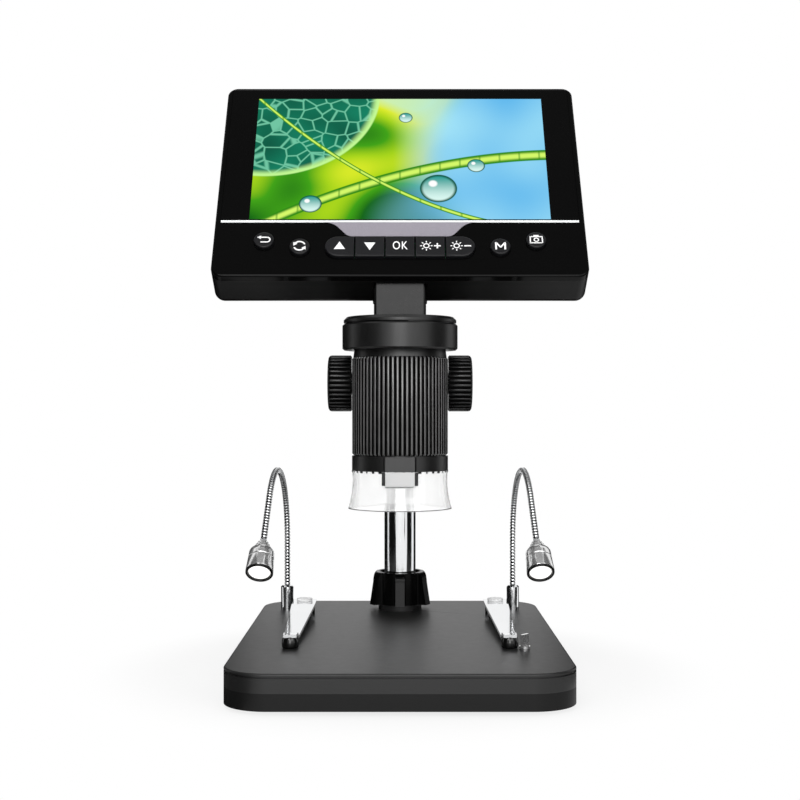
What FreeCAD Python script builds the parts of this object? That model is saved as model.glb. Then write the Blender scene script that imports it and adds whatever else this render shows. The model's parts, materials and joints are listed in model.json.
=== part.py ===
import FreeCAD, Part
import math
import operator
import os

import Sketcher

# LCD digital microscope on a column stand, at rest with its screen leaning back.
# Millimetres, +Z up, origin on the table under the middle of the base.
# The optical axis is the Z axis, and the user looks along +Y.

Vector = FreeCAD.Vector
Placement = FreeCAD.Placement
Rotation = FreeCAD.Rotation
X_DIRECTION = Vector(1, 0, 0)
Z_DIRECTION = Vector(0, 0, 1)
NO_TURN = Rotation()

doc = FreeCAD.newDocument("LcdMicroscope")

# Driving dimensions: name, value, meaning
SIZES = [
    ("base_width", 96.0, "base across"),
    ("base_depth", 132.5, "base front to back"),
    ("base_corner", 12.7, "base corner radius"),
    ("foot_height", 1.0, "rubber foot below the lower cover"),
    ("foot_diameter", 10.0, "rubber foot"),
    ("foot_inset", 14.0, "foot centre from the base's sides"),
    ("cover_height", 4.7, "lower cover"),
    ("shell_height", 5.3, "upper shell"),
    ("base_wall", 2.4, "side wall of both base shells"),
    ("base_skin", 1.8, "floor and roof of the base shells"),
    ("base_round", 0.5, "rounding of the top edge"),
    ("line_drop", 0.8, "fine line round the base below its top edge"),
    ("line_height", 0.5, "fine line, height"),
    ("line_depth", 0.4, "fine line, depth"),
    ("ballast_height", 3.2, "steel ballast plate"),
    ("ballast_gap", 3.0, "ballast plate to the side walls"),
    ("screw_diameter", 3.0, "base screw shank"),
    ("screw_head", 5.4, "base screw head"),
    ("screw_head_height", 1.2, "base screw head, height"),
    ("screw_gap", 0.15, "round a screw in its hole"),
    ("post_diameter", 7.0, "screw posts inside the base"),
    ("column_diameter", 11.0, "chrome column"),
    ("column_inset", 18.0, "column axis from the base's back edge"),
    ("column_top", 104.0, "column top above the table"),
    ("column_chamfer", 0.6, "column end chamfer"),
    ("cap_stem", 4.0, "stop cap stem"),
    ("cap_height", 3.0, "stop cap above the column"),
    ("bolt_diameter", 5.0, "column bolt"),
    ("bolt_head", 1.2, "column bolt head, sunk in the cover"),
    ("bolt_reach", 12.0, "bolt hole in the column's foot"),
    ("bolt_short", 2.4, "bolt's end below the end of its hole"),
    ("boss_diameter", 15.0, "boss round the column on the base"),
    ("boss_height", 2.0, "boss height"),
    ("collar_foot", 22.3, "collar across its ribs at the foot"),
    ("collar_head", 19.6, "collar across its ribs at the top"),
    ("collar_height", 11.0, "collar height"),
    ("collar_waist", 16.6, "collar between its ribs"),
    ("collar_shoulder", 3.2, "rounding of a rib's shoulder"),
    ("collar_drop", 3.0, "shoulder below the collar's top"),
    ("collar_rib", 3.1, "collar rib width"),
    ("collar_count", 6, "collar ribs"),
    ("collar_dish", 14.6, "dished opening at the collar's top"),
    ("collar_dish_depth", 1.6, "depth of the dish"),
    ("turn_gap", 0.05, "radial gap of turning and sliding fits"),
    ("seat_gap", 0.1, "gap under pieces that skim the base"),
    ("barrel_diameter", 29.9, "knurled barrel"),
    ("barrel_bore", 25.8, "barrel bore"),
    ("barrel_bottom", 66.3, "barrel's lower end above the table"),
    ("barrel_length", 30.3, "knurled length"),
    ("knurl_count", 64, "ridges round the barrel"),
    ("knurl_depth", 0.5, "ridge depth"),
    ("groove_share", 0.62, "groove as a share of a ridge's pitch"),
    ("neck_diameter", 28.6, "smooth neck above the ridges"),
    ("neck_height", 2.3, "smooth neck"),
    ("cap_ring_diameter", 36.0, "ring above the neck"),
    ("cap_ring_height", 8.1, "ring height"),
    ("cap_disc_height", 2.1, "bevelled disc above the ring"),
    ("cap_line", 0.4, "shadow line between ring and disc"),
    ("cap_bevel", 0.9, "disc bevel"),
    ("lower_ring_diameter", 30.0, "ring below the barrel"),
    ("lower_ring_height", 4.5, "ring below the barrel, height"),
    ("ring_gap", 0.3, "shadow gap between lower ring and barrel"),
    ("pad_width", 8.9, "flat pad on the ring and shroud"),
    ("pad_proud", 0.5, "pad in front of the ring"),
    ("shroud_height", 11.9, "clear shroud below the ring"),
    ("shroud_top", 30.0, "shroud at the top"),
    ("shroud_bottom", 32.4, "shroud at the bottom"),
    ("shroud_bend", 28.5, "radius of the shroud's hollow side"),
    ("shroud_wall", 1.4, "shroud wall"),
    ("tab_height", 4.4, "snap tab on the shroud"),
    ("board_thick", 1.2, "circuit boards"),
    ("led_count", 8, "lamps of the ring light"),
    ("led_diameter", 3.0, "ring light lamp"),
    ("led_height", 1.3, "ring light lamp, height"),
    ("arm_width", 21.0, "arm across"),
    ("arm_bottom", 76.0, "arm underside above the table"),
    ("arm_height", 19.0, "arm height"),
    ("arm_flange", 3.5, "thicker foot of the arm behind the barrel"),
    ("arm_neck", 14.0, "arm between barrel and hub"),
    ("hub_diameter", 20.0, "arm hub round the column"),
    ("lock_height", 9.0, "lock screw axis above the arm's underside"),
    ("lock_stem", 4.0, "lock screw"),
    ("lock_knob", 14.0, "lock screw knob"),
    ("lock_knob_length", 6.6, "lock screw knob, length"),
    ("lock_stand", 0.5, "knob off the hub"),
    ("grip_count", 12, "flutes round the lock knob"),
    ("grip_diameter", 2.0, "flute"),
    ("focus_height", 88.7, "focus shaft above the table"),
    ("focus_offset", 8.5, "focus shaft behind the optical axis"),
    ("shaft_diameter", 3.0, "focus shaft"),
    ("knob_diameter", 17.9, "focus knob"),
    ("knob_start", 15.3, "focus knob's inner face from the middle"),
    ("knob_length", 7.5, "focus knob"),
    ("knob_round", 1.2, "focus knob, outer edge"),
    ("knob_teeth", 28, "ridges round a focus knob"),
    ("knob_groove", 0.5, "ridge depth on a focus knob"),
    ("hub_boss", 7.0, "spacer behind a focus knob"),
    ("pinion_teeth", 10, "focus pinion"),
    ("gear_module", 0.5, "focus pinion and rack"),
    ("pinion_width", 6.0, "focus pinion"),
    ("tooth_share", 0.34, "tooth width on the pitch line over the pitch"),
    ("tooth_rise", 0.4, "tooth above the pitch line"),
    ("tooth_fall", 0.6, "tooth below the pitch line"),
    ("tooth_slope", 20.0, "sides of a tooth, degrees"),
    ("tooth_bite", 0.54, "pitch line above the solid that carries the teeth"),
    ("rack_width", 5.0, "focus rack"),
    ("rack_length", 15.6, "focus rack"),
    ("rack_seat", 0.5, "floor left under the rack in the carrier tube"),
    ("carrier_diameter", 10.0, "lens carrier tube"),
    ("carrier_bore", 7.6, "lens carrier bore"),
    ("carrier_bottom", 69.0, "lens carrier's lower end above the table"),
    ("carrier_length", 27.0, "lens carrier"),
    ("cell_diameter", 12.0, "lens cell at the carrier's foot"),
    ("cell_height", 5.0, "lens cell"),
    ("cell_gap", 0.4, "round the lens cell in the lamp board"),
    ("lens_height", 2.0, "objective lens, edge"),
    ("lens_crown", 0.8, "objective lens, crown each side"),
    ("sensor_size", 9.0, "image sensor"),
    ("sensor_height", 1.6, "image sensor, height"),
    ("screen_lean", 33.75, "screen's lean back from upright, degrees"),
    ("pivot_back", 1.7, "hinge axis behind the optical axis"),
    ("pivot_rise", 11.1, "hinge axis above the bevelled disc"),
    ("screen_width", 116.3, "screen housing across"),
    ("screen_height", 82.0, "screen housing along its face"),
    ("screen_depth", 14.3, "screen housing front to back"),
    ("screen_corner", 3.4, "screen housing corners"),
    ("rear_round", 3.0, "rear edges of the housing"),
    ("front_round", 0.6, "front edges of the housing"),
    ("pivot_up", 5.4, "hinge axis above the housing's bottom face"),
    ("pivot_in", 10.0, "hinge axis behind the housing's front face"),
    ("frame_depth", 2.4, "front frame"),
    ("housing_wall", 1.8, "rear housing walls"),
    ("tab_width", 16.2, "hinge tab across"),
    ("tab_thick", 12.4, "hinge tab front to back"),
    ("tab_round", 0.95, "hinge tab edges"),
    ("notch_gap", 0.4, "notch round the hinge tab"),
    ("cheek_width", 4.0, "cheeks beside the notch"),
    ("pin_diameter", 3.0, "hinge pin"),
    ("lcd_side", 8.93, "picture to the window's sides"),
    ("lcd_height", 53.86, "picture height"),
    ("lcd_drop", 5.2, "picture below the housing's top"),
    ("lcd_border", 2.2, "panel round the picture"),
    ("lcd_depth", 2.8, "panel thickness"),
    ("window_depth", 1.0, "front window"),
    ("window_side", 1.7, "window to the housing's sides"),
    ("window_over", 1.3, "window to the housing's top"),
    ("fit_gap", 0.1, "round a part in its recess"),
    ("trim_drop", 59.6, "bright line below the housing's top"),
    ("trim_height", 0.83, "bright line"),
    ("trim_proud", 0.15, "bright line and plate in front of the face"),
    ("plate_drop", 60.5, "grey plate below the housing's top"),
    ("plate_height", 5.8, "grey plate"),
    ("plate_top", 45.0, "grey plate across, top"),
    ("plate_bottom", 28.8, "grey plate across, bottom"),
    ("plate_depth", 0.6, "bright line and grey plate, thickness"),
    ("key_line", 71.1, "key row below the housing's top"),
    ("round_key_line", 68.5, "outer round keys below the housing's top"),
    ("row_in", 34.75, "key row's ends in from the housing's sides"),
    ("key_height", 8.0, "long row, height"),
    ("row_keys", 5, "keys of the long row"),
    ("key_split", 0.24, "between two keys of the long row"),
    ("round_key", 6.3, "round key"),
    ("inner_key_in", 27.05, "inner round keys from the housing's sides"),
    ("outer_key_in", 15.85, "outer round keys from the housing's sides"),
    ("key_gap", 0.15, "round a key in its hole"),
    ("key_proud", 1.3, "key in front of the face"),
    ("key_lip", 0.5, "retaining lip round a key"),
    ("key_lip_depth", 0.5, "retaining lip, thickness"),
    ("key_travel", 0.4, "key travel"),
    ("key_edge", 0.5, "key edge rounding"),
    ("key_board_thick", 0.5, "thin board behind the keys"),
    ("housing_post", 5.2, "screw posts in the screen housing"),
    ("housing_post_inset", 5.0, "screw posts from the housing's sides"),
    ("housing_screw", 2.0, "housing screw shank"),
    ("housing_screw_head", 3.8, "housing screw head"),
    ("housing_screw_sink", 1.2, "housing screw head, height"),
    ("usb_width", 7.8, "charging socket"),
    ("usb_height", 2.8, "charging socket"),
    ("card_width", 12.0, "card slot"),
    ("card_height", 1.8, "card slot"),
    ("port_sink", 0.7, "sockets set back from the housing's sides"),
    ("main_board_width", 98.0, "main board"),
    ("main_board_height", 50.0, "main board"),
    ("main_board_drop", 9.0, "main board below the housing's top"),
    ("main_board_back", 0.8, "main board behind the panel"),
    ("peg_spread", 42.0, "board pegs from the middle"),
    ("peg_rise", 20.0, "board pegs above and below the board's middle"),
    ("peg_diameter", 5.0, "board pegs"),
    ("battery_width", 52.0, "battery"),
    ("battery_height", 34.0, "battery"),
    ("battery_depth", 3.4, "battery"),
    ("clip_side_inset", 16.0, "clip pivots in from the base's sides"),
    ("clip_rear_inset", 35.25, "clip pivots in from the base's rear edge"),
    ("clip_reach", 61.0, "clip from its pivot to its tip"),
    ("clip_rear_width", 7.7, "clip at the rear"),
    ("clip_tip_width", 3.8, "clip at the tip"),
    ("clip_thick", 0.9, "clip sheet"),
    ("clip_height", 5.0, "clip's rear above the base"),
    ("clip_tail", 5.0, "clip behind its pivot"),
    ("clip_cheek", 12.0, "clip's side flanges, length"),
    ("clip_low", 1.9, "clip above the base before its tip"),
    ("clip_arch", 3.2, "arched tip above the base"),
    ("clip_post", 3.6, "clip pivot post"),
    ("post_collar", 0.6, "collar under a clip, beyond its post"),
    ("post_cap", 0.8, "cap over a clip, beyond its post"),
    ("tip_diameter", 3.2, "rubber tip"),
    ("lamp_side_inset", 9.0, "lamp sockets in from the base's sides"),
    ("lamp_rear_inset", 21.25, "lamp sockets in from the base's rear edge"),
    ("socket_diameter", 4.4, "lamp socket"),
    ("socket_height", 8.5, "lamp socket above the base"),
    ("socket_floor", 2.0, "lamp socket's closed foot"),
    ("neck_tube", 2.0, "gooseneck"),
    ("neck_rise", 24.0, "gooseneck's upright run above the base"),
    ("neck_bend", 25.5, "gooseneck's bend radius"),
    ("neck_turn", 135.0, "gooseneck's turn, degrees"),
    ("neck_run", 18.5, "gooseneck's straight run to its lamp"),
    ("neck_splay", 2.6, "goosenecks turned outwards, degrees"),
    ("head_rear", 7.7, "lamp head, rear"),
    ("head_front", 8.4, "lamp head, front"),
    ("head_length", 7.6, "lamp head"),
    ("head_collar", 4.3, "conical collar behind a lamp head"),
    ("head_sleeve", 1.3, "plain sleeve behind the cone"),
    ("cone_rear", 4.8, "cone, rear diameter"),
    ("cone_front", 6.0, "cone, front diameter"),
    ("head_wall", 0.8, "lamp head wall"),
    ("head_lens", 1.6, "lamp lens"),
    ("lever_side_inset", 11.8, "switch lever in from the base's right side"),
    ("lever_front_inset", 36.25, "switch lever in from the base's front edge"),
    ("lever_length", 3.2, "switch lever blade"),
    ("lever_thick", 0.9, "switch lever blade"),
    ("lever_height", 4.3, "switch lever above the base"),
    ("lever_turn", 51.0, "switch lever at rest, degrees"),
    ("lever_stem", 2.0, "switch lever stem"),
]


class Size(float):
    """A number that keeps the sheet formula which gives it."""

    def __new__(cls, value, formula):
        number = super().__new__(cls, value)
        number.formula = formula
        return number


def formula_of(number):
    return getattr(number, "formula", repr(float(number)))


def add_operator(name, symbol, operation):
    """Let a Size be added, taken away, multiplied or divided with its formula."""
    def forward(left, right):
        formula = f"({formula_of(left)} {symbol} {formula_of(right)})"
        return Size(operation(float(left), float(right)), formula)

    def backward(right, left):
        return forward(left, right)

    setattr(Size, f"__{name}__", forward)
    setattr(Size, f"__r{name}__", backward)


add_operator("add", "+", operator.add)
add_operator("sub", "-", operator.sub)
add_operator("mul", "*", operator.mul)
add_operator("truediv", "/", operator.truediv)


def sine(degrees):
    return Size(math.sin(math.radians(degrees)), f"sin({formula_of(degrees)} * 1 deg)")


def cosine(degrees):
    return Size(math.cos(math.radians(degrees)), f"cos({formula_of(degrees)} * 1 deg)")


class Sheet:
    """The driving dimensions, each read by its name."""

    def __init__(self, rows):
        cells = doc.addObject("Spreadsheet::Sheet", "Sizes")
        for row, (name, value, meaning) in enumerate(rows, 1):
            cells.set(f"A{row}", str(value))
            cells.setAlias(f"A{row}", name)
            cells.set(f"B{row}", meaning)
        doc.recompute()
        for name, value, meaning in rows:
            setattr(self, name, Size(cells.get(name), f"Sizes.{name}"))


dim = Sheet(SIZES)
parts = []


def bind(item, path, number):
    """Tie one property of an object to its sheet formula."""
    item.setExpression(path, formula_of(number))


def new_body(label):
    """A named sub-part that is built from sketches."""
    body = doc.addObject("PartDesign::Body", label)
    body.Label = label
    parts.append(body)
    return body


def new_sketch(body, role, offset=0.0):
    """A sketch on one of the body's own origin planes, moved along its normal."""
    plane = next(item for item in body.Origin.OriginFeatures if item.Role == role)
    sketch = body.newObject("Sketcher::SketchObject", body.Label + "_sketch")
    sketch.AttachmentSupport = [(plane, "")]
    sketch.MapMode = "FlatFace"
    bind(sketch, "AttachmentOffset.Base.z", offset)
    return sketch


def hold(sketch, kind, geometry, point, number):
    """Measure one coordinate of a sketch point from the sketch's origin."""
    rule = Sketcher.Constraint(kind, -1, 1, geometry, point, float(number))
    index = sketch.addConstraint(rule)
    sketch.setExpression(f"Constraints[{index}]", formula_of(number))


def is_half_circle(point, after):
    """Whether an arc's ends are a whole diameter apart, so that it needs no radius rule."""
    chord = math.hypot(after[0] - point[0], after[1] - point[1])
    return abs(chord - 2 * abs(point[2])) < 1e-6


def outline(sketch, points, closed=True):
    """An outline, or an open path. A third value in a point is the radius of the arc that
    leads to the next point, positive where the arc turns left."""
    first = sketch.GeometryCount
    count = len(points) if closed else len(points) - 1
    for index in range(count):
        add_run(sketch, points[index], points[(index + 1) % len(points)])
    for index in range(count):
        point = points[index]
        here = first + index
        half_circle = len(point) == 3 and is_half_circle(point, points[(index + 1) % len(points)])
        if closed or index > 0:
            last = first + (index - 1) % count
            kind = "Tangent" if half_circle else "Coincident"
            ends = (last, run_end(points[index - 1]), here, run_start(point))
            sketch.addConstraint(Sketcher.Constraint(kind, *ends))
        hold(sketch, "DistanceX", here, run_start(point), point[0])
        hold(sketch, "DistanceY", here, run_start(point), point[1])
        if len(point) == 3 and not half_circle:
            bound = point[2] if point[2] > 0 else 0 - point[2]
            rule = Sketcher.Constraint("Radius", here, float(bound))
            number = sketch.addConstraint(rule)
            sketch.setExpression(f"Constraints[{number}]", formula_of(bound))
    if not closed:
        hold(sketch, "DistanceX", first + count - 1, run_end(points[-2]), points[-1][0])
        hold(sketch, "DistanceY", first + count - 1, run_end(points[-2]), points[-1][1])


def run_start(point):
    """Which end of its own curve an outline's run starts at: arcs are stored turning left."""
    return 2 if len(point) == 3 and point[2] < 0 else 1


def run_end(point):
    return 3 - run_start(point)


def add_run(sketch, point, after):
    """One line or arc of an outline."""
    start = Vector(point[0], point[1], 0)
    end = Vector(after[0], after[1], 0)
    if len(point) == 2:
        sketch.addGeometry(Part.LineSegment(start, end), False)
        return
    radius = float(point[2])
    chord = end - start
    across = Vector(-chord.y, chord.x, 0).normalize()
    height = math.sqrt(max(radius ** 2 - (chord.Length / 2) ** 2, 0.0))
    centre = start + chord / 2 + across * math.copysign(height, radius)
    circle = Part.Circle(centre, Z_DIRECTION, abs(radius))
    ends = (start, end) if radius > 0 else (end, start)
    angles = [math.atan2(corner.y - centre.y, corner.x - centre.x) for corner in ends]
    sketch.addGeometry(Part.ArcOfCircle(circle, *angles), False)


def box_outline(sketch, left, low, right, high):
    outline(sketch, [(left, low), (right, low), (right, high), (left, high)])


def round_box(sketch, middle_x, middle_y, width, height, corner):
    """A rectangle with equal round corners, round its middle."""
    left = middle_x - width / 2
    right = middle_x + width / 2
    low = middle_y - height / 2
    high = middle_y + height / 2
    outline(sketch, [
        (left + corner, low),
        (right - corner, low, corner),
        (right, low + corner),
        (right, high - corner, corner),
        (right - corner, high),
        (left + corner, high, corner),
        (left, high - corner),
        (left, low + corner, corner),
    ])


def ring_hole(sketch, x, y, diameter):
    """A circle in a sketch."""
    centre = Vector(x, y, 0)
    index = sketch.addGeometry(Part.Circle(centre, Z_DIRECTION, diameter / 2), False)
    hold(sketch, "DistanceX", index, 3, x)
    hold(sketch, "DistanceY", index, 3, y)
    rule = Sketcher.Constraint("Diameter", index, float(diameter))
    number = sketch.addConstraint(rule)
    sketch.setExpression(f"Constraints[{number}]", formula_of(diameter))


def pad(sketch, length, both_ways=False, backwards=False):
    body = sketch.getParentGeoFeatureGroup()
    feature = body.newObject("PartDesign::Pad", body.Label + "_pad")
    feature.Profile = sketch
    bind(feature, "Length", length)
    feature.SideType = "Symmetric" if both_ways else "One side"
    feature.Reversed = backwards
    return feature


def pocket(sketch, length, both_ways=False, backwards=False):
    """Cut a sketch into its body, and stop if it cuts nothing."""
    body = sketch.getParentGeoFeatureGroup()
    doc.recompute()
    before = body.Shape.Volume
    feature = body.newObject("PartDesign::Pocket", body.Label + "_pocket")
    feature.Profile = sketch
    bind(feature, "Length", length)
    feature.SideType = "Symmetric" if both_ways else "One side"
    feature.Reversed = backwards
    doc.recompute()
    if body.Shape.Volume >= before:
        raise RuntimeError(f"a pocket in {body.Label} cuts nothing")
    return feature


def revolve(sketch, kind="PartDesign::Revolution", axis="V_Axis"):
    body = sketch.getParentGeoFeatureGroup()
    feature = body.newObject(kind, body.Label + "_turned")
    feature.Profile = sketch
    feature.ReferenceAxis = (sketch, [axis])
    feature.Angle = 360
    return feature


def turned_body(label, points):
    """A body turned round the Z axis from half of its section."""
    body = new_body(label)
    sketch = new_sketch(body, "XZ_Plane")
    outline(sketch, points)
    revolve(sketch)
    return body


def repeat_round(feature, count, role="Z_Axis"):
    """Copies of a feature all round one of its body's axes."""
    body = feature.getParentGeoFeatureGroup()
    pattern = body.newObject("PartDesign::PolarPattern", body.Label + "_round")
    pattern.Originals = [feature]
    axis = next(item for item in body.Origin.OriginFeatures if item.Role == role)
    pattern.Axis = (axis, [""])
    bind(pattern, "Occurrences", count)
    body.Tip = pattern
    return pattern


def edges_where(shape, wanted):
    """Names of the edges whose middle point passes a test."""
    names = []
    for index, edge in enumerate(shape.Edges, 1):
        first, last = edge.ParameterRange
        if wanted(edge, edge.valueAt((first + last) / 2)):
            names.append(f"Edge{index}")
    return names


def ease_edges(body, size, wanted, kind="Fillet"):
    """Round or bevel the chosen edges of a body as it is so far."""
    doc.recompute()
    base = body.Tip
    names = edges_where(base.Shape, wanted)
    if not names:
        raise RuntimeError(f"no edge of {body.Label} to ease")
    feature = body.newObject(f"PartDesign::{kind}", body.Label + "_edge")
    feature.Base = (base, names)
    bind(feature, "Radius" if kind == "Fillet" else "Size", size)
    doc.recompute()
    return feature


def near(first, second):
    return abs(first - second) < 0.01


def place(body, x, y, z, turn=NO_TURN):
    body.Placement = Placement(Vector(x, y, z), turn)
    for path, number in (("x", x), ("y", y), ("z", z)):
        bind(body, f"Placement.Base.{path}", number)


# Stand: base, column and collar

seam_height = dim.foot_height + dim.cover_height
base_top = seam_height + dim.shell_height
floor_top = dim.foot_height + dim.base_skin
ballast_top = floor_top + dim.ballast_height
boss_top = base_top + dim.boss_height
column_y = dim.base_depth / 2 - dim.column_inset
column_hole = dim.column_diameter + 2 * dim.screw_gap
post_x = dim.base_width / 2 - dim.foot_inset
post_y = dim.base_depth / 2 - dim.foot_inset
corners = [(post_x * x_side, post_y * y_side) for x_side in (-1, 1) for y_side in (-1, 1)]
lamp_x = dim.base_width / 2 - dim.lamp_side_inset
lamp_y = dim.base_depth / 2 - dim.lamp_rear_inset
clip_x = dim.base_width / 2 - dim.clip_side_inset
clip_y = dim.base_depth / 2 - dim.clip_rear_inset
base_pins = [(lamp_x * side, lamp_y) for side in (-1, 1)]
base_posts = [(clip_x * side, clip_y) for side in (-1, 1)]
lever_spot = (dim.base_width / 2 - dim.lever_side_inset,
              dim.lever_front_inset - dim.base_depth / 2)


def base_section(body, offset, inset):
    """The base's rounded outline, moved in by an inset, at a height in the body."""
    sketch = new_sketch(body, "XY_Plane", offset)
    width = dim.base_width - 2 * inset
    depth = dim.base_depth - 2 * inset
    round_box(sketch, 0, 0, width, depth, dim.base_corner - inset)
    return sketch


def make_base_shell():
    body = new_body("base_shell")
    pad(base_section(body, seam_height, 0), dim.shell_height)
    pocket(base_section(body, seam_height, dim.base_wall), dim.shell_height - dim.base_skin,
           backwards=True)
    ease_edges(body, dim.base_round, lambda edge, middle: near(middle.z, base_top))
    line = base_section(body, base_top - dim.line_drop, dim.line_depth)
    width = dim.base_width + 2 * dim.base_wall
    depth = dim.base_depth + 2 * dim.base_wall
    box_outline(line, width / -2, depth / -2, width / 2, depth / 2)
    pocket(line, dim.line_height)
    boss = new_sketch(body, "XY_Plane", seam_height + dim.shell_height - dim.base_skin)
    ring_hole(boss, 0, column_y, dim.boss_diameter)
    pad(boss, dim.base_skin + dim.boss_height)
    posts = new_sketch(body, "XY_Plane", seam_height)
    for x, y in corners:
        ring_hole(posts, x, y, dim.post_diameter)
    pad(posts, dim.shell_height - dim.base_skin)
    holes = new_sketch(body, "XY_Plane", boss_top)
    ring_hole(holes, 0, column_y, column_hole)
    for x, y in base_pins:
        ring_hole(holes, x, y, dim.socket_diameter)
    for x, y in base_posts:
        ring_hole(holes, x, y, dim.clip_post)
    ring_hole(holes, *lever_spot, dim.lever_stem + 2 * dim.turn_gap)
    pocket(holes, dim.shell_height + dim.boss_height)
    taps = new_sketch(body, "XY_Plane", seam_height)
    for x, y in corners:
        ring_hole(taps, x, y, dim.screw_diameter)
    pocket(taps, dim.shell_height - dim.base_skin, backwards=True)


def make_base_cover():
    body = new_body("base_cover")
    pad(base_section(body, dim.foot_height, 0), dim.cover_height)
    pocket(base_section(body, floor_top, dim.base_wall), dim.cover_height - dim.base_skin,
           backwards=True)
    posts = new_sketch(body, "XY_Plane", floor_top)
    for x, y in corners:
        ring_hole(posts, x, y, dim.post_diameter)
    pad(posts, dim.cover_height - dim.base_skin)
    holes = new_sketch(body, "XY_Plane", seam_height)
    for x, y in corners:
        ring_hole(holes, x, y, dim.screw_diameter + 2 * dim.screw_gap)
    ring_hole(holes, 0, column_y, dim.bolt_diameter + 2 * dim.screw_gap)
    pocket(holes, dim.cover_height)
    sinks = new_sketch(body, "XY_Plane", dim.foot_height + dim.screw_head_height)
    for x, y in corners:
        ring_hole(sinks, x, y, dim.screw_head + 2 * dim.screw_gap)
    pocket(sinks, dim.screw_head_height)
    bolt_sink = new_sketch(body, "XY_Plane", dim.foot_height + dim.bolt_head)
    ring_hole(bolt_sink, 0, column_y, 2 * (dim.bolt_diameter + dim.screw_gap))
    pocket(bolt_sink, dim.bolt_head)


def make_ballast_plate():
    body = new_body("ballast_plate")
    inset = dim.base_wall + dim.ballast_gap
    pad(base_section(body, floor_top, inset), dim.ballast_height)
    cuts = new_sketch(body, "XY_Plane", ballast_top)
    for x, y in corners:
        ring_hole(cuts, x, y, dim.post_diameter + 2 * dim.ballast_gap)
    ring_hole(cuts, 0, column_y, dim.bolt_diameter + 2 * dim.screw_gap)
    pocket(cuts, dim.ballast_height)


def make_base_screws():
    """Four screws from below, heads sunk in the cover, under the feet."""
    body = new_body("base_screws")
    heads = new_sketch(body, "XY_Plane", dim.foot_height)
    shanks = new_sketch(body, "XY_Plane", dim.foot_height)
    for x, y in corners:
        ring_hole(heads, x, y, dim.screw_head)
        ring_hole(shanks, x, y, dim.screw_diameter)
    pad(heads, dim.screw_head_height).AllowMultiFace = True
    pad(shanks, dim.cover_height + dim.shell_height - dim.base_skin)


def make_rubber_feet():
    body = new_body("rubber_feet")
    sketch = new_sketch(body, "XY_Plane")
    for x, y in corners:
        ring_hole(sketch, x, y, dim.foot_diameter)
    pad(sketch, dim.foot_height)


def make_column():
    body = turned_body("column", [
        (dim.bolt_diameter / 2, 0),
        (dim.column_diameter / 2 - dim.column_chamfer, 0),
        (dim.column_diameter / 2, dim.column_chamfer),
        (dim.column_diameter / 2, dim.column_top - ballast_top - dim.column_chamfer),
        (dim.column_diameter / 2 - dim.column_chamfer, dim.column_top - ballast_top),
        (dim.cap_stem / 2, dim.column_top - ballast_top),
        (dim.cap_stem / 2, dim.column_top - ballast_top - dim.bolt_reach),
        (0, dim.column_top - ballast_top - dim.bolt_reach),
        (0, dim.bolt_reach),
        (dim.bolt_diameter / 2, dim.bolt_reach),
    ])
    place(body, 0, column_y, ballast_top)


def make_column_bolt():
    """Flat-headed bolt that holds the column from below, its head inside the cover's floor."""
    head = dim.bolt_diameter
    bolt_end = ballast_top - dim.foot_height + dim.bolt_reach - dim.bolt_short
    body = turned_body("column_bolt", [
        (0, 0),
        (head, 0),
        (head, dim.bolt_head),
        (dim.bolt_diameter / 2, dim.bolt_head),
        (dim.bolt_diameter / 2, bolt_end),
        (0, bolt_end),
    ])
    place(body, 0, column_y, dim.foot_height)


def make_column_cap():
    top = dim.cap_height
    radius = dim.column_diameter / 2 - dim.column_chamfer
    body = turned_body("column_cap", [
        (0, 0 - dim.bolt_reach / 2),
        (dim.cap_stem / 2, 0 - dim.bolt_reach / 2),
        (dim.cap_stem / 2, 0),
        (radius, 0),
        (radius, top - dim.base_skin, dim.base_skin),
        (radius - dim.base_skin, top),
        (0, top),
    ])
    place(body, 0, column_y, dim.column_top)


def make_collar_nut():
    """Six-ribbed collar that locks the column: a tapered body with rounded shoulders."""
    bore = dim.column_diameter / 2 + dim.turn_gap
    rim = (dim.collar_waist + dim.collar_dish) / 4
    body = turned_body("collar_nut", [
        (bore, 0),
        (dim.collar_waist / 2, 0),
        (dim.collar_waist / 2, dim.collar_height),
        (dim.collar_dish / 2, dim.collar_height),
        (bore, dim.collar_height - dim.collar_dish_depth),
    ])
    rib = new_sketch(body, "YZ_Plane")
    outline(rib, [
        (0 - dim.collar_foot / 2, 0),
        (0 - rim, 0),
        (0 - rim, dim.collar_height),
        (0 - dim.collar_waist / 2, dim.collar_height, dim.collar_shoulder),
        (0 - dim.collar_head / 2, dim.collar_height - dim.collar_drop),
    ])
    repeat_round(pad(rib, dim.collar_rib, both_ways=True), dim.collar_count)
    place(body, 0, column_y, boss_top)


make_base_shell()
make_base_cover()
make_ballast_plate()
make_base_screws()
make_rubber_feet()
make_column()
make_column_bolt()
make_column_cap()
make_collar_nut()


# Arm, barrel and ring light: everything that slides on the column with the lens

barrel_top = dim.barrel_bottom + dim.barrel_length
neck_top = barrel_top + dim.neck_height
disc_bottom = neck_top + dim.cap_ring_height
disc_top = disc_bottom + dim.cap_disc_height
ring_top = dim.barrel_bottom - dim.ring_gap
ring_bottom = ring_top - dim.lower_ring_height
shroud_foot = ring_bottom - dim.shroud_height
bore_radius = dim.barrel_bore / 2
shaft_hole = dim.shaft_diameter + 2 * dim.turn_gap
pitch_radius = dim.gear_module * dim.pinion_teeth / 2
tooth_pitch = math.pi * dim.gear_module
board_bottom = ring_bottom + dim.shroud_wall
rack_front = dim.carrier_bore / 2 + dim.rack_seat
rack_bottom = dim.focus_height - dim.rack_length / 2


def drill_across(body, y, z, diameter, reach):
    """A hole along X, right through."""
    sketch = new_sketch(body, "YZ_Plane")
    ring_hole(sketch, y, z, diameter)
    return pocket(sketch, reach, both_ways=True)


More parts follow.
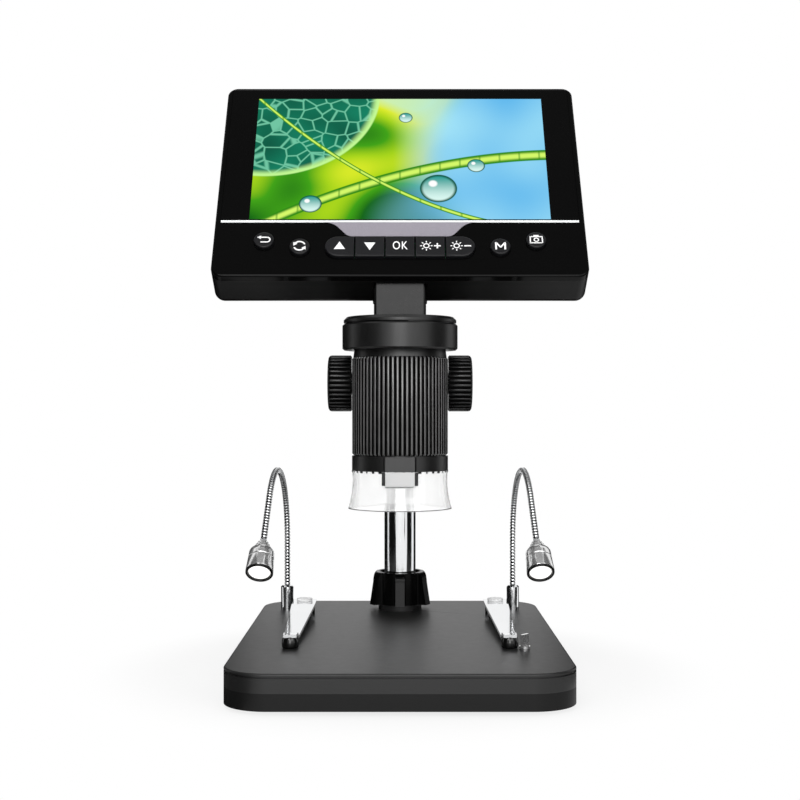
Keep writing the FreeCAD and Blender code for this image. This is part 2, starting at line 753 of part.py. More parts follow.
def ridged(body, radius, count, depth, start, length):
    """Fine ridges all round: one V groove, repeated."""
    sketch = new_sketch(body, "XY_Plane", start)
    half = math.pi * radius / count * dim.groove_share
    outline(sketch, [
        (radius - depth, 0),
        (radius + depth, 0 - half * 2),
        (radius + depth, half * 2),
    ])
    return repeat_round(pocket(sketch, length, backwards=True), count)


def make_barrel():
    """Knurled sleeve with a smooth neck; the focus shaft crosses it behind the lens tube."""
    outer = dim.barrel_diameter / 2
    neck = dim.neck_diameter / 2
    body = turned_body("barrel", [
        (bore_radius, dim.barrel_bottom),
        (outer - dim.knurl_depth, dim.barrel_bottom),
        (outer, dim.barrel_bottom + dim.knurl_depth),
        (outer, barrel_top - dim.knurl_depth),
        (outer - dim.knurl_depth, barrel_top),
        (neck, barrel_top),
        (neck, neck_top),
        (bore_radius, neck_top),
    ])
    ridged(body, outer, dim.knurl_count, dim.knurl_depth, dim.barrel_bottom, dim.barrel_length)
    drill_across(body, dim.focus_offset, dim.focus_height, shaft_hole, dim.barrel_diameter)


def make_cap_ring():
    radius = dim.cap_ring_diameter / 2
    return turned_body("cap_ring", [
        (bore_radius, neck_top),
        (radius - dim.base_round, neck_top),
        (radius, neck_top + dim.base_round),
        (radius, disc_bottom - dim.base_round),
        (radius - dim.base_round, disc_bottom),
        (bore_radius, disc_bottom),
    ])


def make_cap_disc():
    """Bevelled lid with a shadow line under its rim and a spigot in the ring."""
    radius = dim.cap_ring_diameter / 2 - dim.cap_line
    step = disc_bottom + dim.cap_line
    return turned_body("cap_disc", [
        (0, disc_bottom - dim.base_skin),
        (bore_radius, disc_bottom - dim.base_skin),
        (bore_radius, disc_bottom),
        (radius - dim.cap_bevel, disc_bottom),
        (radius - dim.cap_bevel, step),
        (radius, step),
        (radius, disc_top - dim.cap_bevel),
        (radius - dim.cap_bevel, disc_top),
        (0, disc_top),
    ])


def make_lower_ring():
    """Ring under the barrel with a ledge for the lamp board and a flat pad in front."""
    outer = dim.lower_ring_diameter / 2
    inner = bore_radius - dim.shroud_wall
    ledge = inner - dim.shroud_wall
    body = turned_body("lower_ring", [
        (ledge, ring_bottom),
        (outer, ring_bottom),
        (outer, ring_top),
        (outer - dim.shroud_wall / 2, ring_top),
        (outer - dim.shroud_wall / 2, dim.barrel_bottom),
        (bore_radius, dim.barrel_bottom),
        (bore_radius, dim.barrel_bottom + dim.shroud_wall),
        (inner, dim.barrel_bottom + dim.shroud_wall),
        (inner, board_bottom),
        (ledge, board_bottom),
    ])
    front_pad(body, ring_bottom, dim.lower_ring_height, outer)


def front_pad(body, bottom, height, outer):
    sketch = new_sketch(body, "XY_Plane", bottom)
    box_outline(sketch, dim.pad_width / -2, 0 - outer - dim.pad_proud, dim.pad_width / 2,
                dim.shroud_wall - outer)
    pad(sketch, height)


def make_shroud():
    """Clear flared skirt, a hollow curve in section, open below."""
    top = dim.shroud_top / 2
    bottom = dim.shroud_bottom / 2
    body = turned_body("light_shroud", [
        (bottom - dim.shroud_wall, shroud_foot),
        (bottom, shroud_foot, 0 - dim.shroud_bend),
        (top, ring_bottom),
        (top - dim.shroud_wall, ring_bottom, dim.shroud_bend),
    ])
    front_pad(body, ring_bottom - dim.tab_height, dim.tab_height, top)


def make_led_board():
    """Ring light: a round board with its lamps facing down round the lens."""
    inner = bore_radius - dim.shroud_wall
    ledge = inner - dim.shroud_wall
    hole = dim.cell_diameter / 2 + dim.cell_gap
    body = turned_body("led_board", [
        (hole, board_bottom),
        (inner, board_bottom),
        (inner, board_bottom + dim.board_thick),
        (hole, board_bottom + dim.board_thick),
    ])
    lamp = new_sketch(body, "XY_Plane", board_bottom)
    ring_hole(lamp, ledge - dim.led_diameter / 2 - dim.shroud_wall / 4, 0, dim.led_diameter)
    repeat_round(pad(lamp, dim.led_height, backwards=True), dim.led_count)


def make_sensor_board():
    """Image sensor board across the barrel's top, under the lid's spigot."""
    top = disc_bottom - dim.base_skin
    body = new_body("sensor_board")
    sketch = new_sketch(body, "XY_Plane", top - dim.board_thick)
    ring_hole(sketch, 0, 0, dim.barrel_bore)
    pad(sketch, dim.board_thick)
    chip = new_sketch(body, "XY_Plane", top - dim.board_thick)
    half = dim.sensor_size / 2
    box_outline(chip, 0 - half, 0 - half, half, half)
    pad(chip, dim.sensor_height, backwards=True)


def make_arm():
    """Arm from the barrel's back to a split hub round the column."""
    body = new_body("arm")
    outer = dim.barrel_diameter / 2
    web = new_sketch(body, "XY_Plane", dim.arm_bottom)
    half = dim.arm_width / 2
    box_outline(web, 0 - half, outer / 2, half, outer + dim.arm_flange)
    pad(web, dim.arm_height)
    neck = new_sketch(body, "XY_Plane", dim.arm_bottom)
    box_outline(neck, dim.arm_neck / -2, outer, dim.arm_neck / 2, column_y)
    pad(neck, dim.arm_height)
    hub = new_sketch(body, "XY_Plane", dim.arm_bottom)
    ring_hole(hub, 0, column_y, dim.hub_diameter)
    pad(hub, dim.arm_height)
    bores = new_sketch(body, "XY_Plane", dim.arm_bottom)
    ring_hole(bores, 0, column_y, dim.column_diameter + 2 * dim.turn_gap)
    ring_hole(bores, 0, 0, dim.barrel_diameter)
    pocket(bores, dim.arm_height, backwards=True)
    screw = new_sketch(body, "XZ_Plane", 0 - column_y - dim.hub_diameter)
    ring_hole(screw, 0, dim.arm_bottom + dim.lock_height, dim.lock_stem + 2 * dim.turn_gap)
    pocket(screw, dim.hub_diameter, backwards=True)


def make_hinge_tab():
    """Upright tab on the lid, round at the top, that carries the screen's pin."""
    body = new_body("hinge_tab")
    half = dim.tab_thick / 2
    sketch = new_sketch(body, "YZ_Plane")
    outline(sketch, [
        (dim.pivot_back - half, disc_top),
        (dim.pivot_back + half, disc_top),
        (dim.pivot_back + half, disc_top + dim.pivot_rise, half),
        (dim.pivot_back - half, disc_top + dim.pivot_rise),
    ])
    pad(sketch, dim.tab_width, both_ways=True)
    side = dim.tab_width / 2
    ease_edges(body, dim.tab_round, lambda edge, middle: near(abs(middle.x), side)
               and middle.z > disc_top + dim.tab_round)
    drill_across(body, dim.pivot_back, disc_top + dim.pivot_rise,
                 dim.pin_diameter + 2 * dim.turn_gap, dim.tab_width)


def make_lock_screw():
    """Fluted knob at the arm's back; its stem bears on the column."""
    body = new_body("lock_screw")
    length = dim.lock_knob_length
    start = dim.hub_diameter / 2 + dim.lock_stand
    sketch = new_sketch(body, "XZ_Plane")
    outline(sketch, [
        (0, dim.column_diameter / 2 + dim.turn_gap),
        (dim.lock_stem / 2, dim.column_diameter / 2 + dim.turn_gap),
        (dim.lock_stem / 2, start),
        (dim.lock_knob / 2, start),
        (dim.lock_knob / 2, start + length - dim.knob_round),
        (dim.lock_knob / 2 - dim.knob_round, start + length),
        (0, start + length),
    ])
    revolve(sketch)
    flute = new_sketch(body, "XY_Plane", start + length)
    ring_hole(flute, dim.lock_knob / 2 + dim.grip_diameter / 4, 0, dim.grip_diameter)
    repeat_round(pocket(flute, length), dim.grip_count)
    place(body, 0, column_y, dim.arm_bottom + dim.lock_height, Rotation(X_DIRECTION, -90))


# Focus drive: shaft, two knobs and pinion turn; the lens carrier and its rack slide


def make_focus_shaft():
    body = new_body("focus_shaft")
    sketch = new_sketch(body, "YZ_Plane")
    ring_hole(sketch, 0, 0, dim.shaft_diameter)
    pad(sketch, 2 * (dim.knob_start + dim.knob_length - dim.base_skin), both_ways=True)
    place(body, 0, dim.focus_offset, dim.focus_height)


def make_focus_knob(label, side):
    """Ridged thumb knob with a blind hole for the shaft and a spacer towards the barrel."""
    radius = dim.knob_diameter / 2
    shaft = dim.shaft_diameter / 2
    body = turned_body(label, [
        (shaft, 0 - dim.base_round),
        (dim.hub_boss / 2, 0 - dim.base_round),
        (dim.hub_boss / 2, 0),
        (radius - dim.knob_groove, 0),
        (radius, dim.knob_groove),
        (radius, dim.knob_length - dim.knob_round, dim.knob_round),
        (radius - dim.knob_round, dim.knob_length),
        (0, dim.knob_length),
        (0, dim.knob_length - dim.base_skin),
        (shaft, dim.knob_length - dim.base_skin),
    ])
    ridged(body, radius, dim.knob_teeth, dim.knob_groove, 0, dim.knob_length)
    turn = Rotation(Vector(0, 1, 0), 90 * side)
    place(body, dim.knob_start * side, dim.focus_offset, dim.focus_height, turn)


def tooth(along, out):
    """One tooth's outline about its own middle, its sides sloped."""
    width = tooth_pitch * dim.tooth_share / 2
    slope = sine(dim.tooth_slope) / cosine(dim.tooth_slope)
    tip = width - dim.tooth_rise * slope
    root = width + dim.tooth_fall * slope
    return [
        (out - dim.tooth_fall, along - root),
        (out + dim.tooth_rise, along - tip),
        (out + dim.tooth_rise, along + tip),
        (out - dim.tooth_fall, along + root),
    ]


def make_focus_pinion():
    body = new_body("focus_pinion")
    hub = new_sketch(body, "XY_Plane", dim.pinion_width / -2)
    ring_hole(hub, 0, 0, 2 * (pitch_radius - dim.tooth_bite))
    pad(hub, dim.pinion_width)
    single = new_sketch(body, "XY_Plane", dim.pinion_width / -2)
    outline(single, tooth(0, pitch_radius))
    repeat_round(pad(single, dim.pinion_width), dim.pinion_teeth)
    bore = new_sketch(body, "XY_Plane", dim.pinion_width / 2)
    ring_hole(bore, 0, 0, dim.shaft_diameter)
    pocket(bore, dim.pinion_width)
    turn = Rotation(Vector(0, 1, 0), 90)
    half_pitch = 180 / dim.pinion_teeth
    place(body, 0, dim.focus_offset, dim.focus_height,
          Rotation(X_DIRECTION, 90 + half_pitch) * turn)


def make_lens_carrier():
    """Tube that carries the objective; a wider cell holds the lens at its foot."""
    bottom = dim.carrier_bottom
    top = bottom + dim.carrier_length
    outer = dim.carrier_diameter / 2
    inner = dim.carrier_bore / 2
    cell = dim.cell_diameter / 2
    body = turned_body("lens_carrier", [
        (inner, bottom),
        (cell - dim.base_round, bottom),
        (cell, bottom + dim.base_round),
        (cell, bottom + dim.cell_height),
        (outer, bottom + dim.cell_height),
        (outer, top),
        (inner, top),
    ])
    seat = new_sketch(body, "XY_Plane", top)
    box_outline(seat, dim.rack_width / -2, rack_front, dim.rack_width / 2, outer + dim.base_round)
    pocket(seat, top - rack_bottom)


def make_objective_lens():
    """Glass lens, crowned on both faces, in the foot of the carrier."""
    radius = dim.carrier_bore / 2
    crown = dim.lens_crown
    bend = (radius * radius + crown * crown) / (2 * crown)
    bottom = dim.carrier_bottom + crown
    turned_body("objective_lens", [
        (0, bottom - crown, bend),
        (radius, bottom),
        (radius, bottom + dim.lens_height, bend),
        (0, bottom + dim.lens_height + crown),
    ])


def make_focus_rack():
    """Toothed bar on the back of the carrier, in mesh with the pinion."""
    body = new_body("focus_rack")
    line = dim.focus_offset - pitch_radius
    back = new_sketch(body, "YZ_Plane")
    box_outline(back, rack_front, rack_bottom, line - dim.tooth_bite,
                rack_bottom + dim.rack_length)
    pad(back, dim.rack_width, both_ways=True)
    teeth = new_sketch(body, "YZ_Plane")
    reach = int((dim.rack_length / 2 - tooth_pitch / 2) / tooth_pitch)
    for index in range(0 - reach, reach + 1):
        outline(teeth, tooth(dim.focus_height + index * tooth_pitch, line))
    pad(teeth, dim.rack_width, both_ways=True)


make_barrel()
make_cap_ring()
make_cap_disc()
make_lower_ring()
make_shroud()
make_led_board()
make_sensor_board()
make_arm()
make_hinge_tab()
make_lock_screw()
make_focus_shaft()
make_focus_knob("focus_knob_left", -1)
make_focus_knob("focus_knob_right", 1)
make_focus_pinion()
make_lens_carrier()
make_objective_lens()
make_focus_rack()


# Screen: modelled upright round its hinge axis, front face towards -Y, then leaned back

lean = Rotation(X_DIRECTION, -dim.screen_lean)
hinge_height = disc_top + dim.pivot_rise
screen_top = dim.screen_height - dim.pivot_up
screen_middle = screen_top - dim.screen_height / 2
window_width = dim.screen_width - 2 * dim.window_side
lcd_width = window_width - 2 * dim.lcd_side
lcd_panel_width = lcd_width + 2 * dim.lcd_border
lcd_panel_height = dim.lcd_height + 2 * dim.lcd_border
lcd_middle = screen_top - dim.lcd_drop - dim.lcd_height / 2
window_height = dim.trim_drop - dim.window_over
window_middle = screen_top - dim.window_over - window_height / 2
lip_start = dim.frame_depth - dim.key_lip_depth - dim.key_travel - dim.fit_gap
row_middle = screen_top - dim.key_line
outer_key = dim.screen_width / 2 - dim.outer_key_in
inner_key = dim.screen_width / 2 - dim.inner_key_in
key_width = (dim.screen_width - 2 * dim.row_in) / dim.row_keys
notch_radius = dim.tab_thick / 2 + dim.notch_gap
notch_width = dim.tab_width + 2 * dim.notch_gap
block_start = dim.frame_depth + dim.key_board_thick + dim.fit_gap
board_depth = dim.window_depth + dim.lcd_depth + dim.main_board_back
board_middle = screen_top - dim.main_board_drop - dim.main_board_height / 2
housing_posts = [(x_side * (dim.screen_width / 2 - dim.housing_post_inset), z)
                 for x_side in (-1, 1)
                 for z in (dim.housing_post_inset - dim.pivot_up,
                           screen_top - dim.housing_post_inset)]
board_pegs = [(x_side * dim.peg_spread, board_middle + z_side * dim.peg_rise)
              for x_side in (-1, 1) for z_side in (-1, 1)]

# Key name, shape, distance right of the middle, distance below the housing's top
KEYS = [
    ("key_up", "left end", key_width * -2, dim.key_line),
    ("key_down", "middle", key_width * -1, dim.key_line),
    ("key_ok", "middle", key_width * 0, dim.key_line),
    ("key_brighter", "middle", key_width * 1, dim.key_line),
    ("key_dimmer", "right end", key_width * 2, dim.key_line),
    ("key_rotate", "round", inner_key * -1, dim.key_line),
    ("key_menu", "round", inner_key * 1, dim.key_line),
    ("key_back", "round", outer_key * -1, dim.round_key_line),
    ("key_camera", "round", outer_key * 1, dim.round_key_line),
]


def screen_body(label):
    body = new_body(label)
    place(body, 0, dim.pivot_back, hinge_height, lean)
    return body


def face_sketch(body, depth):
    """A sketch parallel to the screen's face, at a depth behind it."""
    return new_sketch(body, "XZ_Plane", dim.pivot_in - depth)


def housing_outline(body, depth, inset):
    sketch = face_sketch(body, depth)
    round_box(sketch, 0, screen_middle, dim.screen_width - 2 * inset,
              dim.screen_height - 2 * inset, dim.screen_corner - inset)
    return sketch


def centred_box(sketch, x, z, width, height):
    box_outline(sketch, x - width / 2, z - height / 2, x + width / 2, z + height / 2)


def key_outline(sketch, shape, x, z, grow):
    """A key's outline, grown outwards but not towards its neighbours in the row."""
    if shape == "round":
        ring_hole(sketch, x, z, dim.round_key + 2 * grow)
        return
    left = x - key_width / 2 + dim.key_split / 2
    right = x + key_width / 2 - dim.key_split / 2
    bend = dim.key_height / 2 + grow
    low = z - bend
    high = z + bend
    if shape == "left end":
        end = left + dim.key_height / 2
        outline(sketch, [(right, low), (right, high), (end, high, bend), (end, low)])
    elif shape == "right end":
        end = right - dim.key_height / 2
        outline(sketch, [(left, high), (left, low), (end, low, bend), (end, high)])
    else:
        box_outline(sketch, left, low, right, high)


def key_openings(sketch, grow):
    """One slot for the long row and one hole for each round key."""
    bend = dim.key_height / 2 + grow
    end = (key_width * dim.row_keys - dim.key_split - dim.key_height) / 2
    outline(sketch, [
        (0 - end, row_middle - bend),
        (end, row_middle - bend, bend),
        (end, row_middle + bend),
        (0 - end, row_middle + bend, bend),
    ])
    for label, shape, x, drop in KEYS:
        if shape == "round":
            ring_hole(sketch, x, screen_top - drop, dim.round_key + 2 * grow)


def plate_outline(sketch, grow):
    """Grey plate under the bright line; each side is an S of two equal arcs."""
    top = screen_top - dim.plate_drop
    bottom = top - dim.plate_height
    middle = top - dim.plate_height / 2
    wide = dim.plate_top / 2 + grow
    narrow = dim.plate_bottom / 2 + grow
    run = (dim.plate_top - dim.plate_bottom) / 4
    fall = dim.plate_height / 2
    bend = (run * run + fall * fall) / (2 * fall)
    outline(sketch, [
        (0 - narrow, bottom),
        (narrow, bottom, bend),
        (narrow + run, middle, 0 - bend),
        (wide, top),
        (0 - wide, top, 0 - bend),
        (0 - narrow - run, middle, bend),
    ])


def make_front_frame():
    body = screen_body("front_frame")
    pad(housing_outline(body, 0, 0), dim.frame_depth, backwards=True)
    ease_edges(body, dim.front_round, lambda edge, middle: near(middle.y, 0 - dim.pivot_in))
    window = face_sketch(body, 0)
    centred_box(window, 0, window_middle, window_width + 2 * dim.fit_gap,
                window_height + 2 * dim.fit_gap)
    pocket(window, dim.window_depth)
    opening = face_sketch(body, dim.frame_depth)
    centred_box(opening, 0, lcd_middle, lcd_panel_width + 2 * dim.fit_gap,
                lcd_panel_height + 2 * dim.fit_gap)
    pocket(opening, dim.frame_depth - dim.window_depth, backwards=True)
    trim = face_sketch(body, 0)
    centred_box(trim, 0, screen_top - dim.trim_drop - dim.trim_height / 2, window_width,
                dim.trim_height + dim.fit_gap)
    pocket(trim, dim.plate_depth - dim.trim_proud)
    plate = face_sketch(body, 0)
    plate_outline(plate, 0)
    pocket(plate, dim.plate_depth - dim.trim_proud)
    holes = face_sketch(body, 0)
    key_openings(holes, dim.key_gap)
    pocket(holes, dim.frame_depth)
    lips = face_sketch(body, dim.frame_depth)
    key_openings(lips, dim.key_lip + dim.key_gap)
    pocket(lips, dim.frame_depth - lip_start, backwards=True)
    taps = face_sketch(body, dim.frame_depth)
    for x, z in housing_posts:
        ring_hole(taps, x, z, dim.housing_screw)
    pocket(taps, dim.frame_depth - dim.window_depth, backwards=True)


def make_rear_housing():
    """Deep rear shell with a block for the hinge, screw posts, board pegs and side ports."""
    body = screen_body("rear_housing")
    depth = dim.screen_depth - dim.frame_depth
    rear = dim.screen_depth - dim.pivot_in
    pad(housing_outline(body, dim.frame_depth, 0), depth, backwards=True)
    ease_edges(body, dim.rear_round, lambda edge, middle: near(middle.y, rear))
    pocket(housing_outline(body, dim.frame_depth, dim.housing_wall), depth - dim.housing_wall)
    block = face_sketch(body, block_start)
    cheek = notch_width / 2 + dim.cheek_width
    box_outline(block, 0 - cheek, dim.housing_wall / 2 - dim.pivot_up, cheek,
                notch_radius + dim.housing_wall)
    pad(block, dim.screen_depth - block_start - dim.housing_wall / 2, backwards=True)
    posts = face_sketch(body, dim.frame_depth)
    for x, z in housing_posts:
        ring_hole(posts, x, z, dim.housing_post)
    pad(posts, depth - dim.housing_wall / 2, backwards=True)
    pegs = face_sketch(body, board_depth + dim.board_thick)
    for x, z in board_pegs:
        ring_hole(pegs, x, z, dim.peg_diameter)
    pad(pegs, dim.screen_depth - board_depth - dim.board_thick - dim.housing_wall / 2,
        backwards=True)
    notch = new_sketch(body, "YZ_Plane")
    outline(notch, [
        (0 - notch_radius, 0 - dim.pivot_up - dim.housing_wall),
        (rear + dim.housing_wall, 0 - dim.pivot_up - dim.housing_wall),
        (rear + dim.housing_wall, notch_radius),
        (0, notch_radius, notch_radius),
        (0 - notch_radius, 0),
    ])
    pocket(notch, notch_width, both_ways=True)
    drill_across(body, 0, 0, dim.pin_diameter, 2 * (cheek - dim.fit_gap))
    shanks = face_sketch(body, dim.frame_depth)
    heads = face_sketch(body, dim.screen_depth - dim.housing_screw_sink)
    for x, z in housing_posts:
        ring_hole(shanks, x, z, dim.housing_screw + 2 * dim.screw_gap)
        ring_hole(heads, x, z, dim.housing_screw_head + 2 * dim.screw_gap)
    pocket(shanks, depth)
    pocket(heads, dim.housing_screw_sink)
    for side, width, height in ((1, dim.usb_width, dim.usb_height),
                                (-1, dim.card_width, dim.card_height)):
        port = new_sketch(body, "YZ_Plane", dim.screen_width / 2 * side)
        near_side = board_depth + dim.board_thick - dim.pivot_in
        box_outline(port, near_side - dim.fit_gap, board_middle - width / 2 - dim.fit_gap,
                    near_side + height + dim.fit_gap, board_middle + width / 2 + dim.fit_gap)
        pocket(port, dim.housing_wall, backwards=side < 0)


def make_housing_screws():
    body = screen_body("housing_screws")
    heads = face_sketch(body, dim.screen_depth)
    shanks = face_sketch(body, dim.screen_depth)
    for x, z in housing_posts:
        ring_hole(heads, x, z, dim.housing_screw_head)
        ring_hole(shanks, x, z, dim.housing_screw)
    pad(heads, dim.housing_screw_sink)
    pad(shanks, dim.screen_depth - dim.window_depth)


def face_slab(label, depth, thick, x, z, width, height):
    """A flat rectangular part parallel to the screen's face."""
    body = screen_body(label)
    sketch = face_sketch(body, depth)
    centred_box(sketch, x, z, width, height)
    pad(sketch, thick, backwards=True)
    return body


def make_key_plate():
    body = screen_body("key_plate")
    sketch = face_sketch(body, 0 - dim.trim_proud)
    plate_outline(sketch, 0 - dim.fit_gap)
    pad(sketch, dim.plate_depth, backwards=True)


def make_main_board():
    """Main board with the charging socket at the right and the card slot at the left."""
    body = face_slab("main_board", board_depth, dim.board_thick, 0, board_middle,
                     dim.main_board_width, dim.main_board_height)
    edge = dim.main_board_width / 2
    reach = dim.screen_width / 2 - dim.port_sink
    for side, width, height in ((1, dim.usb_width, dim.usb_height),
                                (-1, dim.card_width, dim.card_height)):
        socket = face_sketch(body, board_depth + dim.board_thick)
        centred_box(socket, side * (edge + reach - width) / 2, board_middle,
                    reach - edge + width, width)
        pad(socket, height, backwards=True)


def make_battery():
    depth = dim.screen_depth - dim.housing_wall - dim.battery_depth
    body = face_slab("battery", depth, dim.battery_depth, 0, board_middle, dim.battery_width,
                     dim.battery_height)
    ease_edges(body, dim.key_lip, lambda edge, middle: near(middle.y, depth - dim.pivot_in)
               or near(middle.y, depth + dim.battery_depth - dim.pivot_in))


def make_hinge_pin():
    body = screen_body("hinge_pin")
    sketch = new_sketch(body, "YZ_Plane")
    ring_hole(sketch, 0, 0, dim.pin_diameter)
    pad(sketch, notch_width + 2 * (dim.cheek_width - dim.fit_gap), both_ways=True)


def make_key(label, shape, x, drop):
    """A key cap with a rounded front edge and a lip that keeps it behind the frame."""
    body = screen_body(label)
    z = screen_top - drop
    cap = face_sketch(body, 0 - dim.key_proud)
    key_outline(cap, shape, x, z, 0)
    pad(cap, dim.key_proud + lip_start, backwards=True)
    front = 0 - dim.pivot_in - dim.key_proud
    ease_edges(body, dim.key_edge, lambda edge, middle: near(middle.y, front))
    lip = face_sketch(body, lip_start)
    key_outline(lip, shape, x, z, dim.key_lip)
    pad(lip, dim.key_lip_depth, backwards=True)


make_front_frame()
make_rear_housing()
make_housing_screws()
face_slab("screen_window", 0, dim.window_depth, 0, window_middle, window_width, window_height)
face_slab("lcd_panel", dim.window_depth, dim.lcd_depth, 0, lcd_middle, lcd_panel_width,
          lcd_panel_height)
face_slab("trim_line", 0 - dim.trim_proud, dim.plate_depth, 0,
          screen_top - dim.trim_drop - dim.trim_height / 2, window_width - 2 * dim.fit_gap,
          dim.trim_height)
make_key_plate()
face_slab("key_board", dim.frame_depth, dim.key_board_thick, 0,
          (row_middle + screen_top - dim.round_key_line) / 2,
          2 * (outer_key + dim.round_key / 2), dim.key_height + 2 * dim.key_lip)
make_main_board()
make_battery()
make_hinge_pin()
for key in KEYS:
    make_key(*key)


# Stage clips, each on a post at the rear of the base

tip_back = dim.clip_tip_width / 2
arch_run = dim.clip_tip_width
arch_rise = dim.clip_arch - dim.clip_low
arch_bend = (arch_run * arch_run + arch_rise * arch_rise) / (4 * arch_rise)
clip_bend_start = dim.clip_tail - dim.clip_cheek


def side_name(label, side):
    return f"{label}_left" if side < 0 else f"{label}_right"


def make_clip_posts():
    """White posts: a collar under each clip, a stem through it and a cap over it."""
    body = new_body("clip_posts")
    gap = dim.turn_gap
    levels = [
        (dim.clip_post, base_top - dim.base_skin, dim.base_skin + dim.clip_height + gap),
        (dim.clip_post + 2 * dim.post_collar, base_top, dim.clip_height - dim.clip_thick - gap),
        (dim.clip_post + 2 * dim.post_cap, base_top + dim.clip_height + gap, dim.clip_thick),
    ]
    for diameter, bottom, height in levels:
        sketch = new_sketch(body, "XY_Plane", bottom)
        for x, y in base_posts:
            ring_hole(sketch, x, y, diameter)
        pad(sketch, height)


def make_clip(side):
    """Sheet-metal clip: a channel over its post, sloping and tapering to an arched tip."""
    body = new_body(side_name("clip", side))
    thick = dim.clip_thick
    tip = 0 - dim.clip_reach
    arch_start = tip + dim.clip_tip_width
    arch_middle = arch_start + arch_run / 2
    arch_end = arch_start + arch_run
    top = dim.clip_height
    level = (dim.clip_arch + dim.clip_low) / 2
    strip = new_sketch(body, "YZ_Plane")
    outline(strip, [
        (tip, dim.clip_arch),
        (arch_start, dim.clip_arch, 0 - arch_bend),
        (arch_middle, level, arch_bend),
        (arch_end, dim.clip_low),
        (clip_bend_start, top - thick),
        (dim.clip_tail, top - thick),
        (dim.clip_tail, top),
        (clip_bend_start, top),
        (arch_end, dim.clip_low + thick, 0 - arch_bend),
        (arch_middle, level + thick, arch_bend),
        (arch_start, dim.clip_arch + thick),
        (tip, dim.clip_arch + thick),
    ])
    pad(strip, dim.clip_rear_width, both_ways=True)
    taper = new_sketch(body, "XY_Plane", top + thick)
    wide = dim.clip_rear_width / 2
    narrow = dim.clip_tip_width / 2
    for way in (-1, 1):
        outline(taper, [
            (way * wide, clip_bend_start),
            (way * narrow, tip),
            (way * narrow, tip - thick),
            (way * (wide + thick), tip - thick),
            (way * (wide + thick), clip_bend_start),
        ])
    pocket(taper, top + thick)
    cheeks = new_sketch(body, "XY_Plane", dim.seat_gap)
    for way in (-1, 1):
        centre = way * (wide - thick / 2)
        box_outline(cheeks, centre - thick / 2, clip_bend_start, centre + thick / 2,
                    dim.clip_tail)
    pad(cheeks, top - thick / 2 - dim.seat_gap)
    hole = new_sketch(body, "XY_Plane", top)
    ring_hole(hole, 0, 0, dim.clip_post + 2 * dim.turn_gap)
    pocket(hole, thick)
    place(body, clip_x * side, clip_y, base_top)


def make_clip_tip(side):
    """Rubber tip under the arch, rounded where it presses on a slide."""
    radius = dim.tip_diameter / 2
    body = new_body(side_name("clip_tip", side))
    sketch = new_sketch(body, "XZ_Plane")
    outline(sketch, [
        (0, dim.seat_gap),
        (radius / 2, dim.seat_gap, radius / 2),
        (radius, dim.seat_gap + radius / 2),
        (radius, dim.clip_arch),
        (0, dim.clip_arch),
    ])
    revolve(sketch)
    place(body, clip_x * side, clip_y - dim.clip_reach + tip_back, base_top)


# Side lamps: socket in the base, gooseneck, lamp head and lens

neck_end_back = dim.neck_bend * cosine(dim.neck_turn) - dim.neck_bend
neck_end_rise = dim.neck_rise + dim.neck_bend * sine(dim.neck_turn)
lamp_back = neck_end_back - dim.neck_run * sine(dim.neck_turn)
lamp_rise = neck_end_rise + dim.neck_run * cosine(dim.neck_turn)
head_end = dim.head_collar + dim.head_length


def make_lamp_socket(side):
    outer = dim.socket_diameter / 2
    bore = dim.neck_tube / 2 + dim.turn_gap
    edge = outer - dim.base_round
    body = turned_body(side_name("lamp_socket", side), [
        (0, 0 - dim.base_skin),
        (outer, 0 - dim.base_skin),
        (outer, dim.socket_height - dim.base_round),
        (edge, dim.socket_height),
        (bore, dim.socket_height),
        (bore, dim.socket_floor),
        (0, dim.socket_floor),
    ])
    place(body, lamp_x * side, lamp_y, base_top)


def make_gooseneck(side):
    """Bendable tube: upright, one long bend, then straight to its lamp."""
    body = new_body(side_name("gooseneck", side))
    section = new_sketch(body, "XY_Plane", dim.socket_floor)
    ring_hole(section, 0, 0, dim.neck_tube)
    route = new_sketch(body, "YZ_Plane")
    outline(route, [
        (0, dim.socket_floor),
        (0, dim.neck_rise, dim.neck_bend),
        (neck_end_back, neck_end_rise),
        (lamp_back, lamp_rise),
    ], closed=False)
    doc.recompute()
    pipe = body.newObject("PartDesign::AdditivePipe", body.Label + "_pipe")
    pipe.Profile = section
    pipe.Spine = (route, ["Edge1", "Edge2", "Edge3"])
    place(body, lamp_x * side, lamp_y, base_top,
          Rotation(Z_DIRECTION, dim.neck_splay * side))


def place_on_neck(body, side):
    """Set a turned part on the end of its gooseneck, its own Z axis along the lamp's beam."""
    splay = Rotation(Z_DIRECTION, dim.neck_splay * side)
    offset = splay.multVec(Vector(0, lamp_back, lamp_rise))
    start = Vector(lamp_x * side, lamp_y, base_top)
    body.Placement = Placement(start + offset, splay * Rotation(X_DIRECTION, dim.neck_turn))


def make_lamp_head(side):
    """Flared metal cup behind a stepped cone, open in front for its lens."""
    rear = dim.head_rear / 2
    front = dim.head_front / 2
    wall = dim.head_wall
    stem = dim.neck_tube / 2 + wall
    mouth = front - wall
    floor = head_end - 2 * dim.head_lens
    body = turned_body(side_name("lamp_head", side), [
        (0, 0),
        (stem, 0),
        (stem, dim.head_sleeve),
        (dim.cone_rear / 2, dim.head_sleeve),
        (dim.cone_front / 2, dim.head_collar),
        (rear - dim.base_round, dim.head_collar),
        (rear, dim.head_collar + dim.base_round),
        (front, head_end),
        (mouth, head_end),
        (mouth, floor),
        (0, floor),
    ])
    place_on_neck(body, side)


